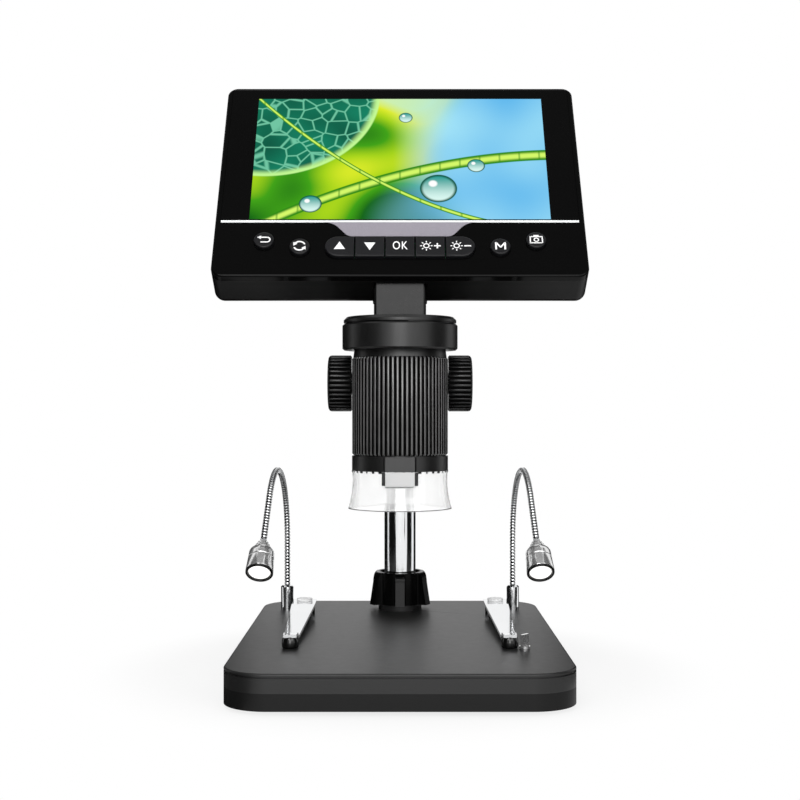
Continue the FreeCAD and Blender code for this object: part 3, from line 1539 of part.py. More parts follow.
def make_lamp_lens(side):
    mouth = dim.head_front / 2 - dim.head_wall
    floor = head_end - 2 * dim.head_lens
    body = turned_body(side_name("lamp_lens", side), [
        (0, floor),
        (mouth, floor),
        (mouth, floor + dim.head_lens),
        (mouth - dim.base_round, floor + dim.head_lens),
        (mouth - dim.base_round, floor + dim.head_lens + dim.head_wall / 2),
        (0, floor + dim.head_lens + dim.head_wall / 2),
    ])
    place_on_neck(body, side)


def make_switch_lever():
    """Small upright blade on a round stem that works the lamp switch in the base."""
    body = turned_body("switch_lever", [
        (0, 0 - dim.base_skin - dim.socket_floor / 2),
        (dim.lever_stem / 2, 0 - dim.base_skin - dim.socket_floor / 2),
        (dim.lever_stem / 2, dim.seat_gap),
        (dim.lever_length / 2, dim.seat_gap),
        (dim.lever_length / 2, dim.lever_thick),
        (0, dim.lever_thick),
    ])
    blade = new_sketch(body, "XY_Plane", dim.lever_thick / 2)
    box_outline(blade, dim.lever_length / -2, dim.lever_thick / -2, dim.lever_length / 2,
                dim.lever_thick / 2)
    pad(blade, dim.lever_height - dim.lever_thick / 2)
    place(body, *lever_spot, base_top, Rotation(Z_DIRECTION, dim.lever_turn))


make_clip_posts()
make_switch_lever()
for hand in (-1, 1):
    make_clip(hand)
    make_clip_tip(hand)
    make_lamp_socket(hand)
    make_gooseneck(hand)
    make_lamp_head(hand)
    make_lamp_lens(hand)


def check_and_write():
    """Write each sub-part once every object of the document is sound."""
    doc.recompute()
    for item in doc.Objects:
        if "Invalid" in item.State or "Error" in item.State:
            raise RuntimeError(f"{item.Label} failed: {item.State}")
    os.makedirs("parts", exist_ok=True)
    for part in parts:
        if part.Shape.isNull() or not part.Shape.isValid():
            raise RuntimeError(f"{part.Label} has no valid shape")
    for part in parts:
        part.Shape.exportStep(f"parts/{part.Label}.step")


check_and_write()
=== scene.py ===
import json
import math

import bmesh
import bpy
from mathutils import Matrix, Vector

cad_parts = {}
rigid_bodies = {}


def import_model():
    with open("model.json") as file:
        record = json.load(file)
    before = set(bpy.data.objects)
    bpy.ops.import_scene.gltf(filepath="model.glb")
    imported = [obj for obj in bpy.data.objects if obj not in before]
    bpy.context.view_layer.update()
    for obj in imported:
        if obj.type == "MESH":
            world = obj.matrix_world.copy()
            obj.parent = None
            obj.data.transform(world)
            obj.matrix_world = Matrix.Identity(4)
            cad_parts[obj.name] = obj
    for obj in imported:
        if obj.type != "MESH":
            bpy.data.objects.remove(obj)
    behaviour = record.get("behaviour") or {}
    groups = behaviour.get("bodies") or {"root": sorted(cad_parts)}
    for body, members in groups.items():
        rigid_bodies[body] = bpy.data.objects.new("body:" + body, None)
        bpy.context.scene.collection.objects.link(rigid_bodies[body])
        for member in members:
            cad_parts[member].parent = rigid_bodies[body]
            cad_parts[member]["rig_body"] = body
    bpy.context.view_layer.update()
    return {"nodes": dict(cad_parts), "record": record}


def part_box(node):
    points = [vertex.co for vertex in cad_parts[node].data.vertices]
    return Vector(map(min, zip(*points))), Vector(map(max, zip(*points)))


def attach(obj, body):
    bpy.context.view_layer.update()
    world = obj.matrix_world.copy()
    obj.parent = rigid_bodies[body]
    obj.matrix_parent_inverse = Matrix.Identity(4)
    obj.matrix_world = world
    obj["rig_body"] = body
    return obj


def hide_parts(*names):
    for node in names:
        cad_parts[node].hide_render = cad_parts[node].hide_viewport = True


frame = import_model()

bl_info = {
    "name": "Desk Microscope Looks",
    "version": (1, 0, 0),
    "blender": (4, 5, 0),
    "location": "View3D > Sidebar > Microscope",
    "description": "Dresses an LCD desk microscope: housings, knurled barrel, chrome, lamps and stage",
    "category": "Object",
}

MM = 0.001
ROUND_STEPS = 128


def colour_choice(name, description, tone):
    """A colour that a user can change: its red, green and blue."""
    return bpy.props.FloatVectorProperty(
        name=name, description=description, subtype="COLOR", size=3, min=0.0, max=1.0,
        default=tone)


def length_choice(name, description, length, least, most):
    """A length that a user can change, in metres."""
    return bpy.props.FloatProperty(
        name=name, description=description, default=length, min=least, max=most, unit="LENGTH",
        subtype="DISTANCE")


class MicroscopeLooks(bpy.types.PropertyGroup):
    """Sizes and colours that a user would change."""

    base_colour: colour_choice(
        "Base colour", "Matt upper shell of the base", (0.009, 0.009, 0.009))
    housing_colour: colour_choice(
        "Housing colour", "Satin black of the screen's rear housing", (0.004, 0.004, 0.004))
    barrel_colour: colour_choice(
        "Barrel colour", "Black anodised metal of the barrel", (0.006, 0.006, 0.006))
    plate_colour: colour_choice(
        "Plate colour", "Grey plate between picture and keys", (0.273, 0.254, 0.292))
    key_colour: colour_choice("Key colour", "Key caps", (0.005, 0.005, 0.006))
    legend_colour: colour_choice("Legend colour", "Printed key legends", (0.9, 0.9, 0.9))
    picture_strength: bpy.props.FloatProperty(
        name="Picture strength", description="Light given off by the picture", default=1.0,
        min=0.0, max=5.0)
    neck_rib_pitch: length_choice(
        "Gooseneck rib pitch", "Distance from rib to rib on a gooseneck", 1.1 * MM, 0.5 * MM,
        5 * MM)
    camera_lens: bpy.props.FloatProperty(
        name="Lens", description="Camera focal length in millimetres", default=60.0,
        min=10.0, max=300.0)
    camera_distance: length_choice(
        "Camera distance", "Camera in front of the optical axis", 0.417, 0.1, 5.0)
    camera_height: length_choice("Camera height", "Camera above the table", 0.0815, 0.0, 2.0)


# Material helpers: every pattern reads Object coordinates, in metres

def new_material(name, colour, roughness, metallic=0.0, **sockets):
    """A material with one shader, its even values set on the shader's own sockets."""
    material = bpy.data.materials.new(name)
    material.use_nodes = True
    shader = material.node_tree.nodes["Principled BSDF"]
    shader.inputs["Base Color"].default_value = (*colour, 1.0)
    shader.inputs["Roughness"].default_value = roughness
    shader.inputs["Metallic"].default_value = metallic
    for socket, value in sockets.items():
        shader.inputs[socket.replace("_", " ")].default_value = value
    return material


def add_node(material, kind, **settings):
    node = material.node_tree.nodes.new(kind)
    for key, value in settings.items():
        if key in node.inputs:
            node.inputs[key].default_value = value
        else:
            setattr(node, key, value)
    return node


def link(material, output, target):
    material.node_tree.links.new(output, target)


def shader_of(material):
    return material.node_tree.nodes["Principled BSDF"]


def object_point(material, stretch=(1.0, 1.0, 1.0)):
    """The Object coordinate, stretched along an axis for drawn or brushed patterns."""
    source = add_node(material, "ShaderNodeTexCoord")
    mapping = add_node(material, "ShaderNodeMapping")
    mapping.inputs["Scale"].default_value = stretch
    link(material, source.outputs["Object"], mapping.inputs["Vector"])
    return mapping.outputs["Vector"]


def noise(material, scale, detail=2.0, stretch=(1.0, 1.0, 1.0)):
    node = add_node(material, "ShaderNodeTexNoise")
    node.inputs["Scale"].default_value = scale
    node.inputs["Detail"].default_value = detail
    link(material, object_point(material, stretch), node.inputs["Vector"])
    return node.outputs["Fac"]


def spread(material, factor, low, high, target):
    """Send a 0 to 1 factor to a socket as a range of values."""
    node = add_node(material, "ShaderNodeMapRange")
    node.inputs["To Min"].default_value = low
    node.inputs["To Max"].default_value = high
    link(material, factor, node.inputs["Value"])
    link(material, node.outputs["Result"], target)


def tint(material, factor, dark, light):
    """Colour between two tones."""
    ramp = add_node(material, "ShaderNodeValToRGB")
    ramp.color_ramp.elements[0].color = (*dark, 1.0)
    ramp.color_ramp.elements[0].position = 0.3
    ramp.color_ramp.elements[1].color = (*light, 1.0)
    ramp.color_ramp.elements[1].position = 0.7
    link(material, factor, ramp.inputs["Fac"])
    link(material, ramp.outputs["Color"], shader_of(material).inputs["Base Color"])


def roughen(material, factor, strength, depth):
    """Relief of a given depth in metres."""
    bump = add_node(material, "ShaderNodeBump")
    bump.inputs["Strength"].default_value = strength
    bump.inputs["Distance"].default_value = depth
    link(material, factor, bump.inputs["Height"])
    link(material, bump.outputs["Normal"], shader_of(material).inputs["Normal"])


def scaled(colour, factor):
    return tuple(min(1.0, channel * factor) for channel in colour)


# Finishes

def moulded(name, colour, roughness, grain=1400.0, depth=0.02 * MM, sheen=0.5):
    """Moulded plastic: a fine spark-eroded grain and slightly uneven tone."""
    material = new_material(name, colour, roughness, Specular_IOR_Level=sheen)
    tint(material, noise(material, 60.0, 3.0), scaled(colour, 0.94), scaled(colour, 1.06))
    spread(material, noise(material, 500.0, 4.0), roughness - 0.03, roughness + 0.03,
           shader_of(material).inputs["Roughness"])
    roughen(material, noise(material, grain, 2.0), 0.3, depth)
    return material


def glossy(name, colour, roughness, sheen=0.5):
    """Polished plastic with faint handling marks in its gloss."""
    material = new_material(name, colour, roughness, Specular_IOR_Level=sheen)
    tint(material, noise(material, 30.0), scaled(colour, 0.9), scaled(colour, 1.1))
    spread(material, noise(material, 90.0, 6.0), max(0.01, roughness - 0.03), roughness + 0.05,
           shader_of(material).inputs["Roughness"])
    roughen(material, noise(material, 45.0, 1.0), 0.02, 0.05 * MM)
    return material


def plated(name, colour, roughness, metallic=1.0):
    """Bright plating with faint polishing marks."""
    material = new_material(name, colour, roughness, metallic)
    tint(material, noise(material, 40.0, 3.0), scaled(colour, 0.94), colour)
    marks = noise(material, 900.0, 5.0)
    spread(material, marks, roughness - 0.03, roughness + 0.06,
           shader_of(material).inputs["Roughness"])
    roughen(material, marks, 0.04, 0.01 * MM)
    return material


def machined(name, colour, roughness):
    """Turned or anodised metal with fine tool lines."""
    material = new_material(name, colour, roughness, metallic=1.0)
    tint(material, noise(material, 160.0, 4.0), scaled(colour, 0.8), scaled(colour, 1.2))
    lines = noise(material, 700.0, 3.0, (1.0, 1.0, 6.0))
    spread(material, lines, roughness - 0.07, roughness + 0.07,
           shader_of(material).inputs["Roughness"])
    roughen(material, lines, 0.12, 0.01 * MM)
    return material


def clear_plastic(name, tone, roughness):
    """Clear moulded acrylic with soft flow waves."""
    material = new_material(name, tone, roughness, Transmission_Weight=1.0, IOR=1.47)
    tint(material, noise(material, 90.0), scaled(tone, 0.97), tone)
    roughen(material, noise(material, 120.0, 2.0), 0.06, 0.05 * MM)
    return material


def lit(name, colour, roughness, strength):
    """A lamp lens: milky, giving off a little light of its own."""
    material = new_material(name, colour, roughness)
    shader = shader_of(material)
    shader.inputs["Emission Color"].default_value = (*colour, 1.0)
    spread(material, noise(material, 500.0), strength * 0.9, strength * 1.1,
           shader.inputs["Emission Strength"])
    roughen(material, noise(material, 900.0), 0.1, 0.02 * MM)
    return material


def circuit_board(name, colour, roughness):
    """Green solder mask with a web of copper tracks."""
    material = new_material(name, colour, roughness)
    cells = add_node(material, "ShaderNodeTexVoronoi", feature="DISTANCE_TO_EDGE")
    cells.inputs["Scale"].default_value = 420.0
    link(material, object_point(material), cells.inputs["Vector"])
    edge = add_node(material, "ShaderNodeMapRange")
    edge.inputs["From Max"].default_value = 0.12
    link(material, cells.outputs["Distance"], edge.inputs["Value"])
    tint(material, edge.outputs["Result"], (0.03, 0.2, 0.08), (0.01, 0.08, 0.035))
    roughen(material, edge.outputs["Result"], 0.2, 0.05 * MM)
    return material


# Mesh helpers: sizes in metres, each piece finished at the origin

def box_of(node):
    low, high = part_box(node)
    return Vector(low), Vector(high)


def middle_of(node):
    low, high = box_of(node)
    return (low + high) / 2


def shown(name, shape, material, sharp=None):
    """An object made of a bmesh, in the scene; with an angle given, smooth up to it."""
    mesh = bpy.data.meshes.new(name)
    shape.to_mesh(mesh)
    shape.free()
    if sharp:
        mesh.shade_smooth()
        mesh.set_sharp_from_angle(angle=math.radians(sharp))
    mesh.materials.append(material)
    piece = bpy.data.objects.new(name, mesh)
    bpy.context.scene.collection.objects.link(piece)
    return piece


def make_piece(name, shape, material, body, sharp=35.0, bevel=0.0):
    """Turn a bmesh into a finished piece that rides on a CAD body."""
    bmesh.ops.remove_doubles(shape, verts=shape.verts, dist=1e-6)
    bmesh.ops.recalc_face_normals(shape, faces=shape.faces)
    piece = shown(name, shape, material, sharp)
    if bevel:
        add_bevel(piece, bevel)
    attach(piece, body)
    return piece


def add_bevel(piece, width):
    bevel = piece.modifiers.new("Edges", "BEVEL")
    bevel.width = width
    bevel.segments = 3
    bevel.limit_method = "ANGLE"
    bevel.angle_limit = math.radians(35)
    bevel.harden_normals = True


def dress(node, material, sharp=30.0):
    """A merged, smoothly shaded copy of a CAD node, shown in its stead."""
    source = frame["nodes"][node]
    shape = bmesh.new()
    shape.from_mesh(source.data)
    bmesh.ops.remove_doubles(shape, verts=shape.verts, dist=1e-6)
    bmesh.ops.dissolve_limit(
        shape, angle_limit=math.radians(0.2), verts=shape.verts, edges=shape.edges)
    piece = shown(node + "_piece", shape, material, sharp)
    even_normals(piece)
    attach(piece, source["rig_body"])
    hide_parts(node)


def even_normals(piece):
    """Let large flat faces decide the shading, so small rounds don't smear over them."""
    weigh = piece.modifiers.new("Normals", "WEIGHTED_NORMAL")
    weigh.keep_sharp = True
    weigh.weight = 100


def slot_for(node):
    """The material slot that the record gives a node."""
    return next(part["material_slot"] for part in frame["record"]["subparts"]
                if part["node"] == node)


def finish_node(node, material):
    """Give a CAD node its material and leave its shape."""
    slots = frame["nodes"][node].data.materials
    slots.clear()
    slots.append(material)


def turn(shape, profile, axis_point, steps=ROUND_STEPS):
    """Spin an open or closed (radius, height) profile right round an upright axis."""
    origin = Vector(axis_point)
    upward = Vector((0.0, 0.0, 1.0))
    out = upward.orthogonal().normalized()
    corners = [shape.verts.new(origin + out * radius + upward * height)
               for radius, height in profile]
    edges = [shape.edges.new(pair) for pair in zip(corners, corners[1:])]
    bmesh.ops.spin(
        shape, geom=corners + edges, cent=origin, axis=upward, dvec=(0, 0, 0),
        angle=math.tau, steps=steps, use_merge=True, use_normal_flip=False, use_duplicate=False)


def turned_piece(name, profile, axis_point, material, body):
    shape = bmesh.new()
    turn(shape, profile, axis_point)
    return make_piece(name, shape, material, body)


def ridge_height(part, width=0.28):
    """Height of a flat ridge with round shoulders, 0 to 1, at a part of its pitch."""
    off = abs(part - 0.5) / width
    return math.sqrt(1.0 - off ** 4) if off < 1.0 else 0.0


def add_box(shape, low, high, place=Matrix()):
    """A box between two corners, in the frame that place gives."""
    low = Vector(low)
    high = Vector(high)
    size = Matrix.Diagonal((*(high - low), 1.0))
    bmesh.ops.create_cube(shape, size=1.0, matrix=place @ Matrix.Translation((low + high) / 2) @ size)


def draw_out(shape, edges):
    """Extrude a ring of edges in place; the new corners, edges and faces."""
    grown = bmesh.ops.extrude_edge_only(shape, edges=edges)["geom"]
    verts = [item for item in grown if isinstance(item, bmesh.types.BMVert)]
    edges = [item for item in grown if isinstance(item, bmesh.types.BMEdge)
             and all(vertex in verts for vertex in item.verts)]
    faces = [item for item in grown if isinstance(item, bmesh.types.BMFace)]
    return verts, edges, faces


def start_ring(shape, sides, **settings):
    """The corners and edges of a first ring, one metre in radius."""
    verts = bmesh.ops.create_circle(shape, segments=sides, radius=1.0, **settings)["verts"]
    return verts, list({edge for vertex in verts for edge in vertex.link_edges})


def ridged_tube(shape, rows, count, depth, place, steps=14):
    """Flat ridges all round: each row is a height, a radius and a share of the ridges."""
    total = count * steps
    shares = [ridge_height((number % steps) / steps) for number in range(total)]
    angles = [math.tau * number / total for number in range(total)]
    order = {}
    loops = []
    for height, radius, share in rows:
        if order:
            drawn, edges, _ = draw_out(shape, edges)
            numbered = ((order[vertex_before(vertex, order)], vertex) for vertex in drawn)
            verts = [vertex for _, vertex in sorted(numbered, key=lambda pair: pair[0])]
        else:
            verts, edges = start_ring(shape, total)
        order = {vertex: number for number, vertex in enumerate(verts)}
        loops.append(edges)
        for number, vertex in enumerate(verts):
            reach = radius + depth * share * shares[number]
            vertex.co = place @ Vector((reach * math.cos(angles[number]),
                                        reach * math.sin(angles[number]), height))
    return loops


def vertex_before(vertex, order):
    """The vertex of the last row that this one was drawn out from."""
    return next(edge.other_vert(vertex) for edge in vertex.link_edges
                if edge.other_vert(vertex) in order)


# Sizes repeated from the solids, in metres

BASE_TOP = 11.0 * MM
PIVOT = Vector((0.0, 1.7 * MM, 120.2 * MM))
SCREEN_LEAN = math.radians(33.75)
LEAN = Matrix.Translation(PIVOT) @ Matrix.Rotation(-SCREEN_LEAN, 4, "X")
FACE_DEPTH = -10.0 * MM
PICTURE_WIDTH = 95.04 * MM
PICTURE_TOP = 71.4 * MM
PICTURE_BOTTOM = 17.54 * MM
PICTURE_MIDDLE = (PICTURE_TOP + PICTURE_BOTTOM) / 2
TRIM_PROUD = 0.15 * MM
PLATE_THICK = 0.1 * MM
NOTCH_HALF = 8.5 * MM
STRIP_THICK = 0.33 * MM
STRIP_FRONT = -6.5 * MM
STRIP_REAR = 4.1 * MM
STRIP_BOTTOM = -5.2 * MM
STRIP_TOP = 6.0 * MM
KEY_PROUD = 1.3 * MM
KEY_PITCH = 9.36 * MM
INNER_KEY = 31.1 * MM
OUTER_KEY = 42.3 * MM
ROW_HEIGHT = 5.5 * MM
OUTER_KEY_HEIGHT = 8.1 * MM
LEGEND_RISE = 0.02 * MM
LEGEND_THICK = 0.04 * MM
BARREL_BOTTOM = 66.3 * MM
BARREL_TOP = 96.6 * MM
BARREL_RADIUS = 14.95 * MM
BARREL_NECK_TOP = 98.9 * MM
BARREL_NECK_RADIUS = 14.6 * MM
BARREL_BORE = 12.9 * MM
BARREL_RIDGES = 64
RIDGE_DEPTH = 0.42 * MM
# Up to this share of the ridge depth, flanks take the painted groove shade
CREST_START = 0.85
KNOB_RADIUS = 8.95 * MM
KNOB_START = 15.3 * MM
KNOB_LENGTH = 7.5 * MM
KNOB_RIDGES = 36
KNOB_BORE = 3.5 * MM
KNOB_SPACER = 0.5 * MM
LUG_COUNT = 38
LUG_REACH = 14.8 * MM
LUG_HEIGHT = 61.25 * MM
RIM_RADIUS = 0.13 * MM
FOCUS_AXIS = Vector((0.0, 8.5 * MM, 88.7 * MM))
LAMP_SIDE = 39.0 * MM
LAMP_BACK = 45.0 * MM
NECK_FLOOR = 2.0 * MM
NECK_RISE = 24.0 * MM
NECK_BEND = 25.5 * MM
NECK_TURN = math.radians(135.0)
NECK_RUN = 18.5 * MM
NECK_SPLAY = math.radians(2.6)
NECK_RADIUS = 1.0 * MM
NECK_SIDES = 16
# One rib of a gooseneck: how far along its pitch, and how wide
NECK_RIB = ((0.0, 0.66), (0.15, 0.92), (0.5, 1.0), (0.85, 0.92))
# Below this share of the neck radius a face lies in a groove and gets painted shade
GROOVE_WIDTH = 0.7


def looks():
    return bpy.context.scene.microscope_looks


# Finishes that are made for one part of the microscope

def anodised(name, colour, roughness):
    """Matt black anodising: dark metal under a thin, slightly sheeny film."""
    material = new_material(name, colour, roughness)
    tint(material, noise(material, 200.0, 4.0), scaled(colour, 0.8), scaled(colour, 1.2))
    lines = noise(material, 900.0, 3.0, (1.0, 1.0, 0.15))
    spread(material, lines, 0.3, 0.42, shader_of(material).inputs["Roughness"])
    roughen(material, lines, 0.05, 0.01 * MM)
    return material


def ridge_metal(name, painted_highlight_gain, sheen):
    """Black anodised aluminium, its colour raised by a factor: a painted highlight on the ridge tops.
    """
    # The barrel colour is multiplied by the given factor: painted highlight, brighter than the
    # anodising itself
    colour = scaled(looks().barrel_colour, painted_highlight_gain)
    material = new_material(name, colour, 0.24, Specular_IOR_Level=sheen)
    tint(material, noise(material, 200.0, 4.0), scaled(colour, 0.8), scaled(colour, 1.2))
    spread(material, noise(material, 700.0, 3.0, (1.0, 1.0, 0.1)), 0.21, 0.28,
           shader_of(material).inputs["Roughness"])
    return material


def clear_shroud(name, colour, roughness):
    """Clear skirt, milky, with a faint painted glow standing in for the ring light behind it."""
    material = clear_plastic(name, colour, roughness)
    shader = shader_of(material)
    shader.inputs["Transmission Weight"].default_value = 0.82
    # Faint white emission: painted glow on the skirt, which is no lamp
    shader.inputs["Emission Color"].default_value = (1.0, 1.0, 1.0, 1.0)
    shader.inputs["Emission Strength"].default_value = 0.07
    return material


def plate_paint(name, colour, roughness):
    """Metallic grey paint: fine flakes in an even coat."""
    material = new_material(name, colour, roughness)
    flakes = noise(material, 5000.0, 1.0)
    tint(material, flakes, scaled(colour, 0.88), scaled(colour, 1.12))
    spread(material, noise(material, 60.0), 0.3, 0.42, shader_of(material).inputs["Roughness"])
    return material


def foil(name, colour, roughness):
    material = new_material(name, colour, roughness, metallic=0.7)
    creases = noise(material, 80.0, 5.0)
    spread(material, creases, 0.25, 0.5, shader_of(material).inputs["Roughness"])
    roughen(material, creases, 0.5, 0.2 * MM)
    return material


# The finish of each slot: its kind, its colour (a panel setting, three numbers, or one for an
# even grey), its roughness and what else the kind takes
FINISHES = {
    "base_grey": (moulded, "base_colour", 0.42, 2600.0, 0.006 * MM, 0.38),
    "base_dark": (moulded, 0.005, 0.5, 1400.0, 0.02 * MM, 0.18),
    "ballast_iron": (machined, (0.16, 0.15, 0.15), 0.6),
    "screw_steel": (machined, (0.55, 0.55, 0.56), 0.28),
    "black_rubber": (moulded, 0.007, 0.6, 900.0, 0.04 * MM),
    "tip_rubber": (glossy, 0.004, 0.12),
    "bright_chrome": (plated, (0.86, 0.87, 0.88), 0.07),
    "gooseneck_chrome": (plated, (0.9, 0.91, 0.92), 0.09),
    "satin_chrome": (plated, 0.8, 0.14, 0.85),
    "black_plastic": (moulded, 0.0035, 0.28, 4000.0, 0.001 * MM, 0.25),
    "barrel_black": (anodised, "barrel_colour", 0.36),
    # Near black with almost no gloss: painted shade in the grooves of ridges and gooseneck ribs
    "groove_black": (moulded, 0.001, 0.6, 1400.0, 0.02 * MM, 0.02),
    "collar_black": (moulded, 0.0014, 0.24, 4000.0, 0.001 * MM, 0.11),
    "arm_black": (moulded, 0.010, 0.4, 4000.0, 0.002 * MM),
    "carrier_aluminium": (machined, (0.06, 0.06, 0.065), 0.35),
    "clear_plastic": (clear_shroud, 1.0, 0.1),
    "smoke_rim": (glossy, 0.06, 0.2),
    "frosted_tab": (moulded, 0.55, 0.35),
    "lens_glass": (clear_plastic, (0.86, 0.9, 0.97), 0.01),
    "lamp_lens": (lit, (1.0, 0.99, 0.97), 0.3, 0.9),
    "board_green": (circuit_board, (0.01, 0.09, 0.04), 0.3),
    "gear_brass": (machined, (0.75, 0.55, 0.26), 0.25),
    "gloss_black": (glossy, 0.0018, 0.08, 0.09),
    "housing_black": (moulded, "housing_colour", 0.3, 1800.0, 0.01 * MM, 0.2),
    "panel_dark": (glossy, (0.012, 0.016, 0.014), 0.12),
    "silver_trim": (glossy, (0.88, 0.92, 0.91), 0.3),
    "plate_grey": (plate_paint, "plate_colour", 0.35),
    "key_grey": (moulded, "key_colour", 0.4, 2600.0, 0.005 * MM, 0.25),
    "battery_foil": (foil, (0.5, 0.5, 0.52), 0.35),
    "white_nylon": (moulded, 0.8, 0.4, 3000.0, 0.004 * MM),
    "legend_ink": (moulded, "legend_colour", 0.5, 3000.0, 0.002 * MM),
}


def finish(slot):
    """The material of a slot, made when it is first asked for."""
    name = slot + "_finish"
    kind, tone, roughness, *rest = FINISHES[slot]
    if isinstance(tone, str):
        tone = getattr(looks(), tone)
    if isinstance(tone, float):
        tone = (tone, tone, tone)
    return bpy.data.materials.get(name) or kind(name, tone, roughness, *rest)


def dress_all(*nodes, **settings):
    """Smooth, dressed copies of several CAD nodes, each in the finish of its slot."""
    for node in nodes:
        dress(node, finish(slot_for(node)), **settings)


def finish_all(*nodes):
    """Give hidden inner CAD nodes the finish of their slots."""
    for node in nodes:
        finish_node(node, finish(slot_for(node)))


class MICROSCOPE_OT_stand(bpy.types.Operator):
    """Base shell, cover, feet, column and collar nut"""

    bl_idname = "microscope.stand"
    bl_label = "Stand"

    def execute(self, context):
        dress_all("base_shell", "base_cover", "rubber_feet", "base_screws", "ballast_plate",
                  sharp=32.0)
        dress_all("column", "column_cap", "column_bolt", "clip_posts", sharp=30.0)
        dress("collar_nut", finish("collar_black"), sharp=28.0)
        return {"FINISHED"}


def paint_groove_shade(piece, place, floor):
    """Leave the ridges' crests bright; their flanks and the grooves get a near-black finish: painted
    shade.
    """
    piece.data.materials.append(finish("groove_black"))
    back = place.inverted()
    crest = floor + CREST_START * RIDGE_DEPTH
    # Upright faces lower than the crest are flanks and grooves: they get the painted shade
    for face in piece.data.polygons:
        upright = abs((back.to_3x3() @ face.normal).z) < 0.2
        if upright and (back @ face.center).xy.length < crest:
            face.material_index = 1


def make_barrel():
    """Knurled sleeve of rounded ridges over a plain core with its smooth neck."""
    floor = BARREL_RADIUS - RIDGE_DEPTH
    seat = floor - RIDGE_DEPTH
    rows = (
        (BARREL_BOTTOM, seat, 0.0),
        (BARREL_BOTTOM, floor, 0.0),
        (BARREL_BOTTOM + RIDGE_DEPTH, floor, 1.0),
        (BARREL_TOP - RIDGE_DEPTH, floor, 1.0),
        (BARREL_TOP, floor, 0.0),
        (BARREL_TOP, seat, 0.0),
    )
    shape = bmesh.new()
    loops = ridged_tube(shape, rows, BARREL_RIDGES, RIDGE_DEPTH, Matrix())
    bmesh.ops.bridge_loops(shape, edges=loops[0] + loops[-1])
    # Crests at twelve times the barrel colour: painted highlight
    sleeve = make_piece("barrel_ridges", shape, ridge_metal("barrel_ridge_metal", 12.0, 1.0), "scope",
                        sharp=50.0)
    paint_groove_shade(sleeve, Matrix(), floor)
    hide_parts("barrel")
    core = (
        (BARREL_BORE, BARREL_BOTTOM),
        (floor - 0.1 * MM, BARREL_BOTTOM),
        (floor - 0.1 * MM, BARREL_TOP),
        (BARREL_NECK_RADIUS, BARREL_TOP + 0.02 * MM),
        (BARREL_NECK_RADIUS - 0.3 * MM, BARREL_NECK_TOP),
        (BARREL_BORE, BARREL_NECK_TOP),
        (BARREL_BORE, BARREL_BOTTOM),
    )
    turned_piece("barrel_core", core, (0, 0, 0), finish("barrel_black"), "scope")


def make_knob(side, hand):
    """Focus knob: rounded ridges, eased outer edge and a spacer towards the barrel."""
    floor = KNOB_RADIUS - RIDGE_DEPTH
    rows = (
        (0.0, KNOB_BORE, 0.0),
        (0.0, floor, 0.0),
        (0.4 * MM, floor, 1.0),
        (KNOB_LENGTH - 1.1 * MM, floor, 1.0),
        (KNOB_LENGTH - 0.5 * MM, floor - 0.12 * MM, 0.85),
        (KNOB_LENGTH - 0.1 * MM, floor - 0.5 * MM, 0.4),
        (KNOB_LENGTH, floor - 1.0 * MM, 0.0),
        (KNOB_LENGTH, 5.6 * MM, 0.0),
        (KNOB_LENGTH - 0.35 * MM, 5.2 * MM, 0.0),
    )
    place = (Matrix.Translation(FOCUS_AXIS + Vector((KNOB_START * side, 0.0, 0.0)))
             @ Matrix.Rotation(math.radians(90 * side), 4, "Y"))
    shape = bmesh.new()
    loops = ridged_tube(shape, rows, KNOB_RIDGES, RIDGE_DEPTH, place)
    bmesh.ops.holes_fill(shape, edges=loops[0] + loops[-1])
    body = frame["nodes"]["focus_knob_" + hand]["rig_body"]
    # Crests at twice the barrel colour: painted highlight
    knob = make_piece("knob_ridges_" + hand, shape, ridge_metal("knob_ridge_metal", 2.0, 0.4), body,
                      sharp=50.0)
    paint_groove_shade(knob, place, floor)
    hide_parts("focus_knob_" + hand)
    spacer = bmesh.new()
    bmesh.ops.create_cone(
        spacer, cap_ends=True, segments=48, radius1=KNOB_BORE, radius2=KNOB_BORE,
        depth=KNOB_SPACER, matrix=place @ Matrix.Translation((0.0, 0.0, KNOB_SPACER / -2)))
    make_piece("knob_spacer_" + hand, spacer, finish("barrel_black"), body)


# Corners of the snap tab and of the cheek at its right, in millimetres
SNAP_TAB = ((-4.4, -15.62, 57.15), (4.4, -14.6, 61.4))
SNAP_CHEEK = ((4.45, -15.5, 57.4), (5.5, -13.6, 61.45))


def make_snap_tab():
    """Snap tab of the shroud between dark cheeks."""
    in_mm = Matrix.Scale(MM, 4)
    tab = bmesh.new()
    add_box(tab, *SNAP_TAB, in_mm)
    make_piece("snap_tab", tab, finish("frosted_tab"), "scope", bevel=0.15 * MM)
    cheeks = bmesh.new()
    for side in (-1, 1):
        add_box(cheeks, *SNAP_CHEEK, in_mm @ Matrix.Diagonal((side, 1.0, 1.0, 1.0)))
    make_piece("snap_tab_cheeks", cheeks, finish("black_plastic"), "scope",
               bevel=0.15 * MM)


def make_shroud_lugs():
    """Lugs of three widths, all round, that hold the shroud."""
    lugs = bmesh.new()
    for number in range(LUG_COUNT):
        around = Matrix.Rotation(math.tau * (number + 0.5) / LUG_COUNT, 4, "Z")
        width = (0.35 + 0.35 * (number % 3)) * MM
        place = (around @ Matrix.Translation((0.0, -LUG_REACH, LUG_HEIGHT))
                 @ Matrix.Diagonal((width, 0.5 * MM, 0.6 * MM, 1.0)))
        bmesh.ops.create_cube(lugs, size=1.0, matrix=place)
    make_piece("shroud_lugs", lugs, finish("black_plastic"), "scope")


